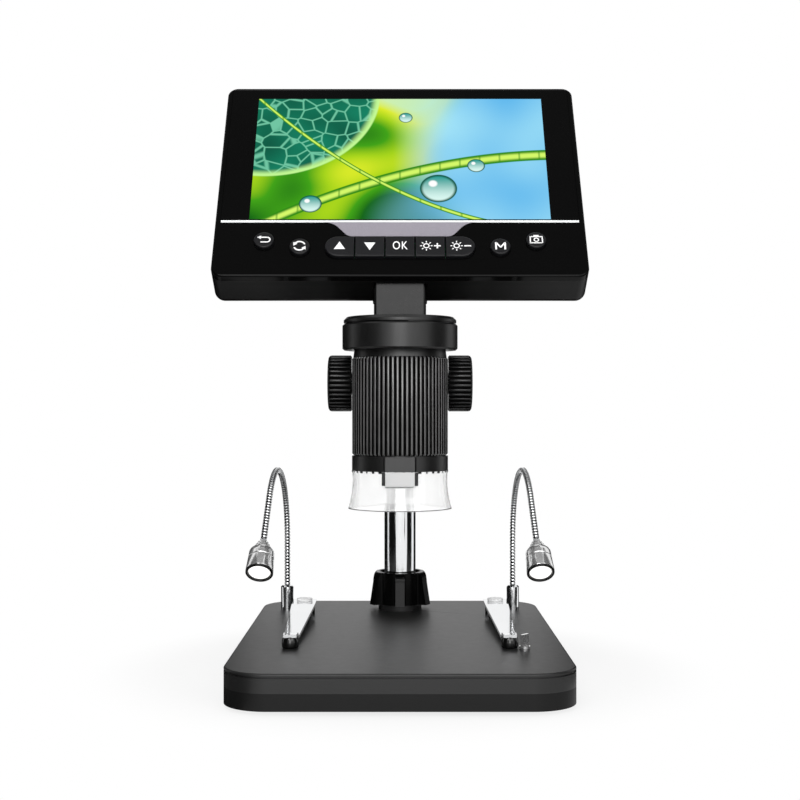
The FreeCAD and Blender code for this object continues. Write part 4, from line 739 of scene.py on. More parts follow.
def make_shroud_rim():
    """The skirt's cut edge: a thin dark ring round its foot."""
    low, high = box_of("light_shroud")
    middle = (low + high) / 2
    reach = (high.x - low.x) / 2 - RIM_RADIUS
    rim = [(reach + RIM_RADIUS * math.cos(turned), RIM_RADIUS * (1.0 + math.sin(turned)))
           for turned in (math.tau * step / 10 for step in range(11))]
    turned_piece("shroud_rim", rim, (middle.x, middle.y, low.z), finish("smoke_rim"), "scope")


class MICROSCOPE_OT_scope(bpy.types.Operator):
    """Arm, cap ring, focus drive and the inner parts that slide on the column"""

    bl_idname = "microscope.scope"
    bl_label = "Arm and focus drive"

    def execute(self, context):
        dress_all("arm", "hinge_tab", "lock_screw", "cap_ring", "cap_disc", "lower_ring",
                  sharp=30.0)
        make_barrel()
        for side, hand in ((-1, "left"), (1, "right")):
            make_knob(side, hand)
        dress_all("light_shroud", "objective_lens", "lens_carrier", sharp=30.0)
        make_snap_tab()
        make_shroud_lugs()
        make_shroud_rim()
        finish_all("led_board", "sensor_board", "focus_shaft", "focus_pinion", "focus_rack")
        return {"FINISHED"}


class MICROSCOPE_OT_screen(bpy.types.Operator):
    """Screen housing, window with its picture, trim line, plate and key caps"""

    bl_idname = "microscope.screen"
    bl_label = "Screen"

    def execute(self, context):
        dress_all("front_frame", "rear_housing", "housing_screws", sharp=30.0)
        dress("key_plate", finish("gloss_black"), sharp=30.0)
        make_plate_face()
        make_window()
        make_trim_line()
        make_notch_strips()
        for node in KEY_LEGENDS:
            dress(node, finish("key_grey"), sharp=30.0)
        finish_all("lcd_panel", "key_board", "main_board", "battery", "hinge_pin")
        return {"FINISHED"}


def node_face_box(node):
    """Extent of a screen node in the screen's own frame."""
    back = LEAN.inverted()
    points = [back @ vertex.co for vertex in frame["nodes"][node].data.vertices]
    low = Vector(min(point[i] for point in points) for i in range(3))
    high = Vector(max(point[i] for point in points) for i in range(3))
    return low, high


def make_window():
    """Black-bordered window: the picture lies on its middle face."""
    low, high = node_face_box("screen_window")
    shape = bmesh.new()
    add_box(shape, low, high, LEAN)
    outward = LEAN.to_3x3() @ Vector((0.0, -1.0, 0.0))
    shape.normal_update()
    picture = max(shape.faces, key=lambda face: face.normal.dot(outward))
    bmesh.ops.inset_individual(shape, faces=[picture], thickness=0.1 * MM, depth=0.0)
    picture.material_index = 1
    back = LEAN.inverted()
    for corner in picture.verts:
        local = back @ corner.co
        corner.co = LEAN @ Vector((math.copysign(PICTURE_WIDTH / 2, local.x), low.y,
                                   PICTURE_TOP if local.z > PICTURE_MIDDLE else PICTURE_BOTTOM))
    window = make_piece("screen_window_piece", shape, finish("gloss_black"), "screen")
    window.data.materials.append(picture_material())
    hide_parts("screen_window")


def make_notch_strips():
    """Black strips on both walls of the hinge notch; they close the view past the tab."""
    shape = bmesh.new()
    for side in (-1, 1):
        add_box(shape, (NOTCH_HALF - STRIP_THICK, STRIP_FRONT, STRIP_BOTTOM),
                (NOTCH_HALF, STRIP_REAR, STRIP_TOP), LEAN @ Matrix.Diagonal((side, 1.0, 1.0, 1.0)))
    make_piece("notch_strips", shape, finish("black_plastic"), "screen")


def make_trim_line():
    """Bright strip between picture and keys, its ends bevelled."""
    low, high = node_face_box("trim_line")
    shape = bmesh.new()
    add_box(shape, low, high, LEAN)
    trim = make_piece("trim_line_piece", shape, finish("silver_trim"), "screen",
                      bevel=0.06 * MM)
    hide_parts("trim_line")


# Arcs of the grey plate's right half: where each starts, above the hinge axis, and its radius
PLATE_ARCS = ((23.9, 16.1, -6.0), (14.83, 10.3, 3.0))
PLATE_SWEEP = math.radians(50)


def make_plate_face():
    """Grey sheet on the plate, its upper corners swept out along the bright line."""
    shape = bmesh.new()
    ends = []
    for reach, height, radius in PLATE_ARCS:
        start = shape.verts.new(Vector((reach, height, 0.0)) * MM)
        arc = bmesh.ops.spin(
            shape, geom=[start], cent=Vector((reach, height + radius, 0.0)) * MM,
            axis=(0.0, 0.0, 1.0), dvec=(0.0, 0.0, 0.0), angle=PLATE_SWEEP, steps=12,
            use_merge=False)
        ends.append(next(item for item in arc["geom_last"] if isinstance(item, bmesh.types.BMVert)))
    shape.edges.new(ends)
    bmesh.ops.mirror(shape, geom=shape.verts[:] + shape.edges[:], matrix=Matrix(),
                     merge_dist=1e-7, axis="X")
    for _, height, _ in PLATE_ARCS:
        shape.edges.new([vertex for vertex in shape.verts
                         if abs(vertex.co.y - height * MM) < 1e-7])
    bmesh.ops.contextual_create(shape, geom=shape.edges[:])
    grown = bmesh.ops.extrude_face_region(shape, geom=shape.faces[:])["geom"]
    bmesh.ops.translate(shape, vec=(0.0, 0.0, PLATE_THICK),
                        verts=[item for item in grown if isinstance(item, bmesh.types.BMVert)])
    bmesh.ops.transform(shape, matrix=upright_face(0.0, TRIM_PROUD, 0.0), verts=shape.verts)
    make_piece("key_plate_face", shape, finish("plate_grey"), "screen")


def upright_face(x, proud, z):
    """Stand a flat drawing up on the screen's leaning face."""
    return (LEAN @ Matrix.Translation((x, FACE_DEPTH - proud, z))
            @ Matrix.Rotation(math.radians(90), 4, "X"))


# The picture on the screen: tissue, jointed threads and air bubbles, as shares of its width

PICTURE_THREADS = (
    (0.34, -0.30, -0.085, 0.026),
    (-0.62, 0.55, -0.16, 0.011),
)
PICTURE_BUBBLES = (
    (0.13, -0.145, 0.062),
    (0.26, -0.04, 0.030),
    (-0.30, -0.215, 0.038),
    (0.02, 0.19, 0.024),
)


def picture_material():
    """A magnified water sample, drawn in the window's own coordinates."""
    material = new_material("picture_finish", (0.0, 0.0, 0.0), 0.1, Specular_IOR_Level=0.14)
    shader = shader_of(material)
    source = add_node(material, "ShaderNodeTexCoord")
    place = add_node(material, "ShaderNodeMapping", vector_type="POINT")
    centre = LEAN @ Vector((0.0, FACE_DEPTH, PICTURE_MIDDLE))
    upright = Matrix.Rotation(SCREEN_LEAN, 3, "X")
    scale = 1.0 / PICTURE_WIDTH
    place.inputs["Rotation"].default_value = (SCREEN_LEAN, 0.0, 0.0)
    place.inputs["Scale"].default_value = (scale, scale, scale)
    place.inputs["Location"].default_value = -(upright @ centre) * scale
    link(material, source.outputs["Object"], place.inputs["Vector"])
    view = place.outputs["Vector"]
    axes = add_node(material, "ShaderNodeSeparateXYZ")
    link(material, view, axes.inputs["Vector"])
    across = axes.outputs["X"]
    up = axes.outputs["Z"]
    ground = picture_ground(material, view, across, up)
    drawn = picture_tissue(material, view, ground)
    for rise, bow, start, width in PICTURE_THREADS:
        drawn = picture_thread(material, across, up, drawn, rise, bow, start, width)
    for x, z, radius in PICTURE_BUBBLES:
        drawn = picture_bubble(material, view, up, drawn, x, z, radius)
    link(material, drawn, shader.inputs["Emission Color"])
    shader.inputs["Emission Strength"].default_value = looks().picture_strength
    return material


def math_node(material, operation, first, second=None, third=None):
    node = add_node(material, "ShaderNodeMath")
    node.operation = operation
    for index, value in enumerate((first, second, third)):
        if value is None:
            continue
        if isinstance(value, (int, float)):
            node.inputs[index].default_value = value
        else:
            link(material, value, node.inputs[index])
    return node.outputs["Value"]


def mixed(material, factor, first, second):
    """Colour mix: each colour is a socket or three numbers."""
    node = add_node(material, "ShaderNodeMix", data_type="RGBA")
    for socket, value in ((node.inputs[0], factor), (node.inputs[6], first),
                          (node.inputs[7], second)):
        if isinstance(value, tuple):
            socket.default_value = (*value, 1.0)
        elif isinstance(value, (int, float)):
            socket.default_value = value
        else:
            link(material, value, socket)
    return node.outputs[2]


def fall(material, value, start, end, high=1.0, low=0.0):
    """A smooth step from high to low between two values."""
    node = add_node(material, "ShaderNodeMapRange", interpolation_type="SMOOTHSTEP")
    node.inputs["From Min"].default_value = start
    node.inputs["From Max"].default_value = end
    node.inputs["To Min"].default_value = high
    node.inputs["To Max"].default_value = low
    link(material, value, node.inputs["Value"])
    return node.outputs["Result"]


def soft_cloud(material, view, scale, place):
    """Slow noise, taken somewhere else for each use."""
    moved = add_node(material, "ShaderNodeVectorMath")
    moved.operation = "ADD"
    moved.inputs[1].default_value = place
    link(material, view, moved.inputs[0])
    cloud = add_node(material, "ShaderNodeTexNoise")
    cloud.inputs["Scale"].default_value = scale
    cloud.inputs["Detail"].default_value = 0.0
    link(material, moved.outputs["Vector"], cloud.inputs["Vector"])
    return cloud.outputs["Fac"]


def away_from(material, view, x, z):
    """Distance on the picture from a point of it."""
    node = add_node(material, "ShaderNodeVectorMath")
    node.operation = "DISTANCE"
    node.inputs[1].default_value = (x, 0.0, z)
    link(material, view, node.inputs[0])
    return node.outputs["Value"]


def picture_ground(material, view, across, up):
    """Out-of-focus ground: greens and yellow at the left, sky blue at the right."""
    cloud = soft_cloud(material, view, 3.4, (0.0, 0.0, 0.7))
    slope = math_node(material, "MULTIPLY_ADD", up, 0.5, cloud)
    ramp = add_node(material, "ShaderNodeValToRGB")
    stops = (
        (0.30, (0.004, 0.13, 0.004)),
        (0.42, (0.05, 0.36, 0.006)),
        (0.52, (0.38, 0.66, 0.008)),
        (0.62, (0.72, 0.84, 0.02)),
        (0.76, (0.62, 0.88, 0.42)),
    )
    elements = ramp.color_ramp.elements
    while len(elements) < len(stops):
        elements.new(0.5)
    for element, (position, colour) in zip(elements, stops):
        element.position = position
        element.color = (*colour, 1.0)
    link(material, slope, ramp.inputs["Fac"])
    drift = math_node(material, "MULTIPLY_ADD",
                      soft_cloud(material, view, 2.4, (0.4, 0.0, 0.0)), 0.6, across)
    sky = mixed(material, soft_cloud(material, view, 4.0, (0.0, 0.0, 2.0)),
                (0.05, 0.40, 0.82), (0.42, 0.84, 0.96))
    return mixed(material, fall(material, drift, 0.24, 0.62, 0.0, 1.0),
                 ramp.outputs["Color"], sky)


def picture_tissue(material, view, below):
    """A round dark body in the upper left corner, its cells parted by pale walls."""
    away = away_from(material, view, -0.46, 0.30)
    cells = add_node(material, "ShaderNodeTexVoronoi", feature="DISTANCE_TO_EDGE")
    cells.inputs["Scale"].default_value = 17.0
    link(material, view, cells.inputs["Vector"])
    wall = fall(material, cells.outputs["Distance"], 0.012, 0.075)
    shade = mixed(material, soft_cloud(material, view, 7.0, (0.0, 0.0, 5.0)),
                  (0.0, 0.03, 0.015), (0.006, 0.27, 0.15))
    body = mixed(material, wall, shade, (0.16, 0.56, 0.36))
    edged = mixed(material, fall(material, away, 0.355, 0.385, 0.0, 1.0), body,
                  (0.55, 0.95, 0.30))
    return mixed(material, fall(material, away, 0.385, 0.392), below, edged)


def picture_thread(material, across, up, below, rise, bow, start, width):
    """A jointed thread that curves across the picture."""
    bent = math_node(material, "MULTIPLY", math_node(material, "MULTIPLY", across, across), bow)
    line = math_node(material, "ADD", math_node(material, "MULTIPLY_ADD", across, rise, start),
                     bent)
    away = math_node(material, "ABSOLUTE", math_node(material, "SUBTRACT", up, line))
    joints = math_node(material, "ABSOLUTE", math_node(
        material, "SINE", math_node(material, "MULTIPLY", across, 46.0)))
    core = math_node(material, "MULTIPLY", fall(material, away, width * 0.15, width * 0.75),
                     fall(material, joints, 0.08, 0.22, 0.45, 1.0))
    green = mixed(material, fall(material, away, width * 0.85, width), below,
                  (0.03, 0.26, 0.006))
    return mixed(material, core, green, (0.66, 0.94, 0.14))


def picture_bubble(material, view, up, below, x, z, radius):
    """An air bubble: dark rim, clear body and a white glint."""
    away = away_from(material, view, x, z)
    lift = math_node(material, "SUBTRACT", up, z)
    body = mixed(material, fall(material, lift, -radius, radius), (0.02, 0.34, 0.30),
                 (0.72, 0.96, 0.90))
    ring = mixed(material, fall(material, away, radius * 0.78, radius * 0.98, 0.0, 1.0), body,
                 (0.0, 0.09, 0.05))
    glint = away_from(material, view, x - radius * 0.3, z + radius * 0.35)
    shone = mixed(material, fall(material, glint, radius * 0.16, radius * 0.3), ring,
                  (1.0, 1.0, 1.0))
    return mixed(material, fall(material, away, radius * 0.98, radius * 1.04), below, shone)


# Key legends: drawn flat, X to the right and Y up the face, then laid on the key caps

def ink_bar(shape, x, y, width, height, turned=0.0):
    place = (Matrix.Translation((x, y, 0.0)) @ Matrix.Rotation(turned, 4, "Z")
             @ Matrix.Diagonal((width, height, LEGEND_THICK, 1.0)))
    bmesh.ops.create_cube(shape, size=1.0, matrix=place)


def ink_plate(shape, x, y, radius, sides, turned=0.0):
    """A flat disc, or with three sides a triangle that points up the face."""
    place = Matrix.Translation((x, y, 0.0)) @ Matrix.Rotation(turned, 4, "Z")
    bmesh.ops.create_cone(shape, cap_ends=True, segments=sides, radius1=radius, radius2=radius,
                          depth=LEGEND_THICK, matrix=place)


def ink_arc(shape, x, y, radius, width, start, sweep, steps=20):
    inner = radius - width / 2
    outer = radius + width / 2
    low = LEGEND_THICK / -2
    place = Matrix.Translation((x, y, 0.0)) @ Matrix.Rotation(start, 4, "Z")
    corners = [shape.verts.new(place @ Vector(point)) for point in (
        (inner, 0.0, low), (outer, 0.0, low), (outer, 0.0, -low), (inner, 0.0, -low))]
    face = shape.faces.new(corners)
    bmesh.ops.spin(shape, geom=[face], cent=(x, y, 0.0), axis=(0.0, 0.0, 1.0),
                   dvec=(0.0, 0.0, 0.0), angle=sweep, steps=steps, use_merge=False)


def ink_arrow_up(shape):
    ink_plate(shape, 0.0, -0.3 * MM, 2.0 * MM, 3)


def ink_arrow_down(shape):
    ink_plate(shape, 0.0, 0.3 * MM, 2.0 * MM, 3, math.pi)


def ink_sun(shape, x):
    ink_arc(shape, x, 0.0, 0.82 * MM, 0.36 * MM, 0.0, math.tau)
    for ray in range(8):
        angle = ray * math.tau / 8
        reach = 1.62 * MM
        ink_bar(shape, x + reach * math.cos(angle), reach * math.sin(angle),
                0.6 * MM, 0.32 * MM, angle)


def ink_brighter(shape):
    ink_sun(shape, -1.2 * MM)
    ink_bar(shape, 2.2 * MM, 0.0, 2.1 * MM, 0.45 * MM)
    ink_bar(shape, 2.2 * MM, 0.0, 0.45 * MM, 2.1 * MM)


def ink_dimmer(shape):
    ink_sun(shape, -1.2 * MM)
    ink_bar(shape, 2.2 * MM, 0.0, 2.1 * MM, 0.45 * MM)


def ink_rotate(shape):
    for half in (0.0, math.pi):
        ink_arc(shape, 0.0, 0.0, 1.7 * MM, 0.5 * MM, half + 0.35, 2.1)
        tip = half + 0.35 + 2.1 + 0.2
        ink_plate(shape, 1.7 * MM * math.cos(tip), 1.7 * MM * math.sin(tip), 0.85 * MM, 3, tip)


def ink_back(shape):
    ink_bar(shape, 0.1 * MM, 0.85 * MM, 2.2 * MM, 0.42 * MM)
    ink_arc(shape, 1.0 * MM, -0.1 * MM, 0.95 * MM, 0.42 * MM, math.pi / -2, math.pi)
    ink_bar(shape, 0.0, -1.05 * MM, 2.0 * MM, 0.42 * MM)
    ink_plate(shape, -1.25 * MM, 0.85 * MM, 0.8 * MM, 3, math.pi / 2)


def ink_camera(shape):
    for rise in (-1.4 * MM, 1.1 * MM):
        ink_bar(shape, 0.0, rise, 4.1 * MM, 0.36 * MM)
    for side in (-1, 1):
        ink_bar(shape, side * 1.87 * MM, -0.15 * MM, 0.36 * MM, 2.7 * MM)
    ink_bar(shape, 0.0, 1.5 * MM, 1.6 * MM, 0.5 * MM)
    ink_arc(shape, 0.0, -0.15 * MM, 0.68 * MM, 0.34 * MM, 0.0, math.tau)


def ink_letters(shape, letters, height, slim):
    """Plain generic letters, centred, made slimmer by a factor."""
    curve = bpy.data.curves.new("letters", "FONT")
    curve.body = letters
    curve.size = height / 0.7
    curve.offset = 0.006 * height
    curve.space_character = 1.15
    curve.extrude = LEGEND_THICK / 2
    curve.align_x = "CENTER"
    curve.align_y = "CENTER"
    carrier = bpy.data.objects.new("letters", curve)
    bpy.context.scene.collection.objects.link(carrier)
    bpy.context.view_layer.update()
    mesh = bpy.data.meshes.new_from_object(
        carrier.evaluated_get(bpy.context.evaluated_depsgraph_get()))
    shape.from_mesh(mesh)
    bmesh.ops.scale(shape, vec=(slim, 1.0, 1.0), verts=shape.verts)
    bpy.data.objects.remove(carrier)
    bpy.data.meshes.remove(mesh)
    bpy.data.curves.remove(curve)


def ink_ok(shape):
    ink_letters(shape, "OK", 3.2 * MM, 0.66)


def ink_menu(shape):
    """A capital M from four strokes."""
    for side in (-1, 1):
        ink_bar(shape, side * 1.4 * MM, 0.0, 0.55 * MM, 2.9 * MM)
        ink_bar(shape, side * 0.68 * MM, 0.35 * MM, 0.5 * MM, 2.35 * MM, side * -0.62)


KEY_LEGENDS = {
    "key_up": (-2 * KEY_PITCH, ROW_HEIGHT, ink_arrow_up),
    "key_down": (-KEY_PITCH, ROW_HEIGHT, ink_arrow_down),
    "key_ok": (0.0, ROW_HEIGHT, ink_ok),
    "key_brighter": (KEY_PITCH, ROW_HEIGHT, ink_brighter),
    "key_dimmer": (2 * KEY_PITCH, ROW_HEIGHT, ink_dimmer),
    "key_rotate": (-INNER_KEY, ROW_HEIGHT, ink_rotate),
    "key_menu": (INNER_KEY, ROW_HEIGHT, ink_menu),
    "key_back": (-OUTER_KEY, OUTER_KEY_HEIGHT, ink_back),
    "key_camera": (OUTER_KEY, OUTER_KEY_HEIGHT, ink_camera),
}


class MICROSCOPE_OT_legends(bpy.types.Operator):
    """White legend printed on each key cap"""

    bl_idname = "microscope.legends"
    bl_label = "Key legends"

    def execute(self, context):
        for node, (x, z, draw) in KEY_LEGENDS.items():
            shape = bmesh.new()
            draw(shape)
            bmesh.ops.transform(shape, matrix=upright_face(x, KEY_PROUD + LEGEND_RISE, z),
                                verts=shape.verts)
            make_piece(node + "_legend", shape, finish("legend_ink"),
                       frame["nodes"][node]["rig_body"])
        return {"FINISHED"}


# Side lamps

def lamp_foot(side):
    return (Matrix.Translation((LAMP_SIDE * side, LAMP_BACK, BASE_TOP))
            @ Matrix.Rotation(NECK_SPLAY * side, 4, "Z"))


def neck_station(along):
    """Place and direction on the gooseneck, that far above its closed foot."""
    upright = NECK_RISE - NECK_FLOOR
    bend = NECK_BEND * NECK_TURN
    if along <= upright:
        return Matrix.Translation((0.0, 0.0, NECK_FLOOR + along))
    middle = Matrix.Translation((0.0, -NECK_BEND, NECK_RISE))
    angle = min((along - upright) / NECK_BEND, NECK_TURN)
    on_arc = middle @ Matrix.Rotation(angle, 4, "X") @ Matrix.Translation((0.0, NECK_BEND, 0.0))
    return on_arc @ Matrix.Translation((0.0, 0.0, max(0.0, along - upright - bend)))


def neck_length():
    return NECK_RISE - NECK_FLOOR + NECK_BEND * NECK_TURN + NECK_RUN


def make_neck(side, hand):
    """Spiral-wound neck: rib after rib, each turned along the route."""
    foot = lamp_foot(side)
    pitch = looks().neck_rib_pitch
    count = int(neck_length() / pitch)
    stations = [(pitch * (number + part), NECK_RADIUS * width)
                for number in range(count) for part, width in NECK_RIB]
    shape = bmesh.new()
    here = foot @ neck_station(0.0)
    verts, edges = start_ring(shape, NECK_SIDES, cap_ends=True, matrix=here)
    size = 1.0
    for along, radius in stations:
        there = foot @ neck_station(along)
        if along:
            verts, edges, faces = draw_out(shape, edges)
            for face in faces:
                # Faces in a groove take the second material: painted shade
                face.material_index = int(min(radius, size) < NECK_RADIUS * GROOVE_WIDTH)
        change = there @ Matrix.Scale(radius / size, 4) @ here.inverted()
        bmesh.ops.transform(shape, matrix=change, verts=verts)
        here = there
        size = radius
    bmesh.ops.holes_fill(shape, edges=edges)
    neck = make_piece("gooseneck_ribbed_" + hand, shape, finish("gooseneck_chrome"),
                      "lamp_" + hand[0], sharp=70.0)
    # The second material paints shade into the grooves between ribs
    neck.data.materials.append(finish("groove_black"))
    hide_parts("gooseneck_" + hand)


def lamp_axis(side):
    """The lamp head's own frame, +Z along its beam."""
    return lamp_foot(side) @ neck_station(neck_length())


def make_head(side, hand):
    """Chrome cup with a rolled lip, grooved cone and black inner ring round its lens."""
    cup = (
        (0.0, 0.02), (1.4, 0.02), (1.65, 0.25), (1.65, 0.8), (1.4, 1.0), (1.9, 1.05),
        (2.2, 1.35), (2.2, 1.85), (1.9, 2.1), (2.45, 2.15), (2.8, 2.5), (2.8, 3.0), (2.5, 3.3),
        (3.1, 3.35), (3.6, 3.6), (3.82, 4.1), (3.88, 5.0), (3.92, 6.3), (3.84, 6.42),
        (3.84, 6.62), (3.95, 6.75), (4.18, 11.0), (4.12, 11.2), (3.9, 11.2), (3.85, 9.3),
        (0.0, 9.3),
    )
    lens = (
        (0.0, 9.35), (3.3, 9.35), (3.3, 11.2), (3.1, 11.42), (2.2, 11.6), (1.0, 11.7),
        (0.0, 11.72),
    )
    liner = ((3.84, 9.35), (3.84, 11.25), (4.14, 11.28), (4.16, 11.6), (4.0, 11.82),
             (3.5, 11.78), (3.35, 11.4), (3.35, 9.35), (3.84, 9.35))
    for name, profile, slot_name, node in (
            ("lamp_cup_", cup, "satin_chrome", "lamp_head_"),
            ("lamp_lens_piece_", lens, "lamp_lens", "lamp_lens_"),
            ("lamp_liner_", liner, "black_plastic", None)):
        shape = bmesh.new()
        turn(shape, [(radius * MM, height * MM) for radius, height in profile], (0, 0, 0), 64)
        bmesh.ops.transform(shape, matrix=lamp_axis(side), verts=shape.verts)
        piece = make_piece(name + hand, shape, finish(slot_name), "lamp_" + hand[0])
        if node:
            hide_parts(node + hand)


class MICROSCOPE_OT_lamps(bpy.types.Operator):
    """Side lamps: sockets, ribbed goosenecks, lamp heads and lenses"""

    bl_idname = "microscope.lamps"
    bl_label = "Side lamps"

    def execute(self, context):
        for side, hand in ((-1, "left"), (1, "right")):
            dress_all("lamp_socket_" + hand, sharp=30.0)
            make_neck(side, hand)
            make_head(side, hand)
        return {"FINISHED"}


def make_clip_tip(hand):
    """Glossy rubber dome pulled over a clip's arched end."""
    node = "clip_tip_" + hand
    centre = middle_of(node)
    profile = (
        (0.0, 0.1), (2.2, 0.1), (2.42, 0.3), (2.5, 1.2), (2.45, 2.2), (2.2, 3.0), (1.7, 3.55),
        (1.0, 3.85), (0.0, 3.95),
    )
    shape = bmesh.new()
    turn(shape, [(radius * MM, height * MM) for radius, height in profile],
         (centre.x, centre.y, BASE_TOP), 64)
    tip = make_piece(node + "_dome", shape, finish("tip_rubber"), frame["nodes"][node]["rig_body"],
                     sharp=60.0)
    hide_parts(node)


class MICROSCOPE_OT_clips(bpy.types.Operator):
    """Sheet-metal stage clips with rubber tips, and the switch lever"""

    bl_idname = "microscope.clips"
    bl_label = "Stage clips and lever"

    def execute(self, context):
        dress_all("clip_left", "clip_right", sharp=30.0)
        dress("switch_lever", finish("satin_chrome"))
        for hand in ("left", "right"):
            make_clip_tip(hand)
        return {"FINISHED"}


# Stage: floor, backdrop, lamps and camera

# The floor's shadow: whole up to one distance from the middle, all white past the other
SHADOW_START = 0.065
SHADOW_END = 0.10
SHADOW_WHITE = 0.8


def seen_directly(owner):
    """1 where the camera, a reflection or clear glass looks, 0 for light that bounces."""
    path = add_node(owner, "ShaderNodeLightPath").outputs
    looked = math_node(owner, "MAXIMUM", path["Is Camera Ray"], path["Is Glossy Ray"])
    return math_node(owner, "MAXIMUM", looked, path["Is Transmission Ray"])


def floor_material():
    """Pale floor: mostly plain white where it is looked at, yet it keeps a soft shadow."""
    material = new_material("floor_finish", (0.8, 0.8, 0.8), 0.9)
    source = add_node(material, "ShaderNodeTexCoord")
    away = add_node(material, "ShaderNodeVectorMath")
    away.operation = "LENGTH"
    link(material, source.outputs["Object"], away.inputs[0])
    fade = fall(material, away.outputs["Value"], SHADOW_START, SHADOW_END, SHADOW_WHITE, 1.0)
    blend = add_node(material, "ShaderNodeMixShader")
    link(material, math_node(material, "MULTIPLY", seen_directly(material), fade),
         blend.inputs["Fac"])
    link(material, shader_of(material).outputs["BSDF"], blend.inputs[1])
    white = add_node(material, "ShaderNodeEmission")
    link(material, white.outputs["Emission"], blend.inputs[2])
    surface = material.node_tree.nodes["Material Output"].inputs["Surface"]
    link(material, blend.outputs["Shader"], surface)
    return material


def add_sheet(name, shape, material):
    """A flat piece that belongs to the stage."""
    sheet = shown(name, shape, material)
    return sheet


def add_card(name, width, depth, place, material):
    """A level rectangle."""
    shape = bmesh.new()
    flat = Matrix.Diagonal((width, depth, 1.0, 1.0))
    bmesh.ops.create_grid(shape, x_segments=1, y_segments=1, size=0.5,
                          matrix=Matrix.Translation(place) @ flat)
    return add_sheet(name, shape, material)


def hide_from_all_but_gloss(card):
    """Leave a studio card to reflections alone."""
    card.visible_camera = False
    card.visible_diffuse = False
    card.visible_shadow = False
    card.visible_transmission = False


# Dark cards round the object, by the bearing of their sides: 0 at the camera, positive right
STUDIO_CARDS = (
    ("card_front_left", -97.0, -34.0),
    ("card_back_left", -163.0, -111.0),
    ("card_front_right", 60.0, 104.0),
    ("card_back_right", 126.0, 163.0),
)
CARD_START = 0.075
CARD_DISTANCE = 0.28
CARD_HEIGHT = 0.5
CARD_RISE = 0.5 * MM
# The pale card overhead: its width, depth and place, and the light it gives reflections
OVERHEAD_CARD = (0.8, 0.5, (0.0, -0.2, 0.95))
CARD_GREY = 0.25
FLOOR_SIZE = 6.0
FLOOR_HEIGHT = -0.2 * MM
CAMERA_SHIFT = 0.0075


def add_studio_card(name, start, end, material):
    """A dark wall between two bearings, with a wedge on the floor before it."""
    shape = bmesh.new()
    corners = []
    for radius, height in ((CARD_START, CARD_RISE), (CARD_DISTANCE, CARD_RISE),
                           (CARD_DISTANCE, CARD_HEIGHT)):
        for bearing in (start, end):
            angle = math.radians(bearing)
            corners.append(shape.verts.new(
                (radius * math.sin(angle), -radius * math.cos(angle), height)))
    for order in ((0, 1, 3, 2), (2, 3, 5, 4)):
        shape.faces.new([corners[number] for number in order])
    hide_from_all_but_gloss(add_sheet(name, shape, material))


# Each lamp: where it hangs, the height it looks at, its watts, its size and, for a tall one,
# its height
LAMPS = {
    "key_lamp": ((-0.3, -0.75, 0.75), 0.08, 3.4, 0.5, None),
    "fill_lamp": ((0.4, -0.7, 0.5), 0.08, 1.8, 0.5, None),
    "front_lamp": ((0.0, -1.0, 0.3), 0.08, 3.4, 0.4, 0.7),
    "top_lamp": ((0.0, 0.15, 0.9), 0.05, 3.0, 0.6, None),
}
UNMIRRORED_LAMP = "top_lamp"
WORLD_LIGHT = 0.35


def add_lamp(name, place, energy, size, size_y):
    light = bpy.data.lights.new(name, "AREA")
    light.energy = energy
    light.size = size
    if size_y:
        light.shape = "RECTANGLE"
        light.size_y = size_y
    lamp = bpy.data.objects.new(name, light)
    lamp.matrix_world = place
    lamp.visible_glossy = name != UNMIRRORED_LAMP
    bpy.context.scene.collection.objects.link(lamp)


def aim(place, target):
    """A lamp or camera frame at a place that looks at a target."""
    place = Vector(place)
    turned = (Vector(target) - place).to_track_quat("-Z", "Y")
    return Matrix.Translation(place) @ turned.to_matrix().to_4x4()


def white_world():
    """White wherever it is looked at, and a plain soft light for the rest."""
    world = bpy.data.worlds.new("studio")
    bpy.context.scene.world = world
    world.use_nodes = True
    background = world.node_tree.nodes["Background"]
    background.inputs["Color"].default_value = (1.0, 1.0, 1.0, 1.0)
    spread(world, seen_directly(world), WORLD_LIGHT, 1.0, background.inputs["Strength"])


def add_camera():
    camera = bpy.data.cameras.new("camera")
    camera.lens = looks().camera_lens
    camera.sensor_width = 36.0
    camera.shift_y = CAMERA_SHIFT
    camera.clip_start = 0.01
    viewer = bpy.data.objects.new("camera", camera)
    viewer.matrix_world = (
        Matrix.Translation((0.0, -looks().camera_distance, looks().camera_height))
        @ Matrix.Rotation(math.radians(90), 4, "X"))
    bpy.context.scene.collection.objects.link(viewer)
    bpy.context.scene.camera = viewer


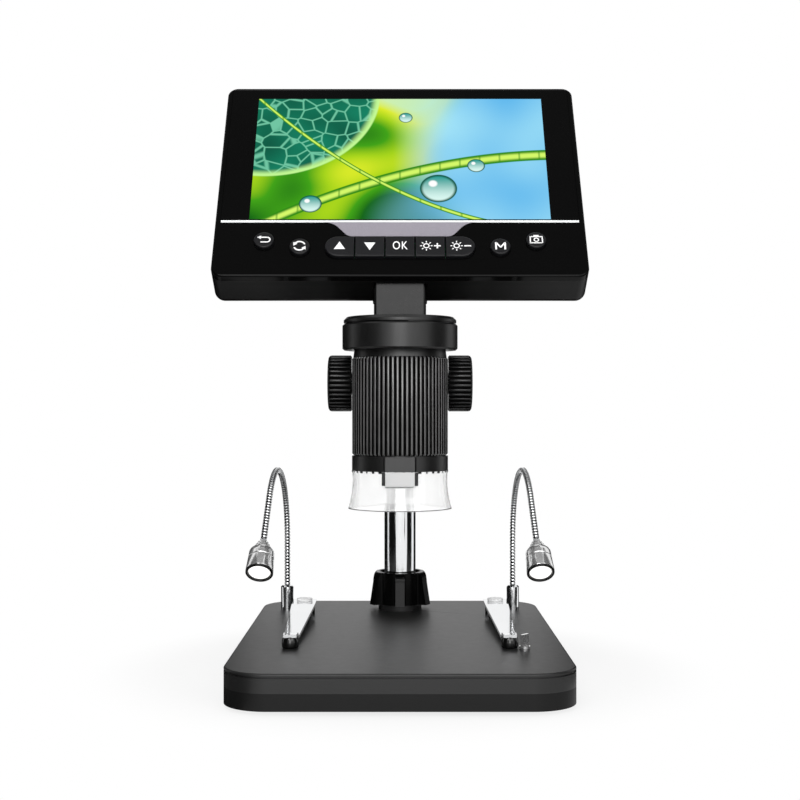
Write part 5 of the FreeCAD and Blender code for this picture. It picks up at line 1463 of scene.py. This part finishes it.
class MICROSCOPE_OT_stage(bpy.types.Operator):
    """Floor, studio cards, soft lamps, world and camera"""

    bl_idname = "microscope.stage"
    bl_label = "Stage"

    def execute(self, context):
        add_card("floor", FLOOR_SIZE, FLOOR_SIZE, (0.0, 0.0, FLOOR_HEIGHT), floor_material())
        dark = new_material("card_finish", (0.0, 0.0, 0.0), 1.0)
        grey = new_material("card_grey_finish", (0.0, 0.0, 0.0), 1.0, Emission_Strength=CARD_GREY,
                            Emission_Color=(1.0, 1.0, 1.0, 1.0))
        hide_from_all_but_gloss(add_card("card_overhead", *OVERHEAD_CARD, grey))
        for name, start, end in STUDIO_CARDS:
            add_studio_card(name, start, end, dark)
        for name, (place, height, energy, size, size_y) in LAMPS.items():
            add_lamp(name, aim(place, (0.0, 0.0, height)), energy, size, size_y)
        white_world()
        add_camera()
        context.scene.view_settings.view_transform = "Standard"
        return {"FINISHED"}


OPERATORS = (
    MICROSCOPE_OT_stand,
    MICROSCOPE_OT_scope,
    MICROSCOPE_OT_screen,
    MICROSCOPE_OT_legends,
    MICROSCOPE_OT_clips,
    MICROSCOPE_OT_lamps,
    MICROSCOPE_OT_stage,
)


class MICROSCOPE_PT_looks(bpy.types.Panel):
    """Sizes, colours and pieces of the microscope"""

    bl_idname = "MICROSCOPE_PT_looks"
    bl_label = "Microscope"
    bl_space_type = "VIEW_3D"
    bl_region_type = "UI"
    bl_category = "Microscope"

    def draw(self, context):
        for name in MicroscopeLooks.__annotations__:
            self.layout.prop(context.scene.microscope_looks, name)
        for operator in OPERATORS:
            self.layout.operator(operator.bl_idname)


def register():
    for kind in (MicroscopeLooks, *OPERATORS, MICROSCOPE_PT_looks):
        bpy.utils.register_class(kind)
    bpy.types.Scene.microscope_looks = bpy.props.PointerProperty(type=MicroscopeLooks)


def unregister():
    del bpy.types.Scene.microscope_looks
    for kind in (MICROSCOPE_PT_looks, *reversed(OPERATORS), MicroscopeLooks):
        bpy.utils.unregister_class(kind)


def main():
    register()
    for operator in OPERATORS:
        group, name = operator.bl_idname.split(".")
        getattr(getattr(bpy.ops, group), name)()


if __name__ == "__main__":
    main()
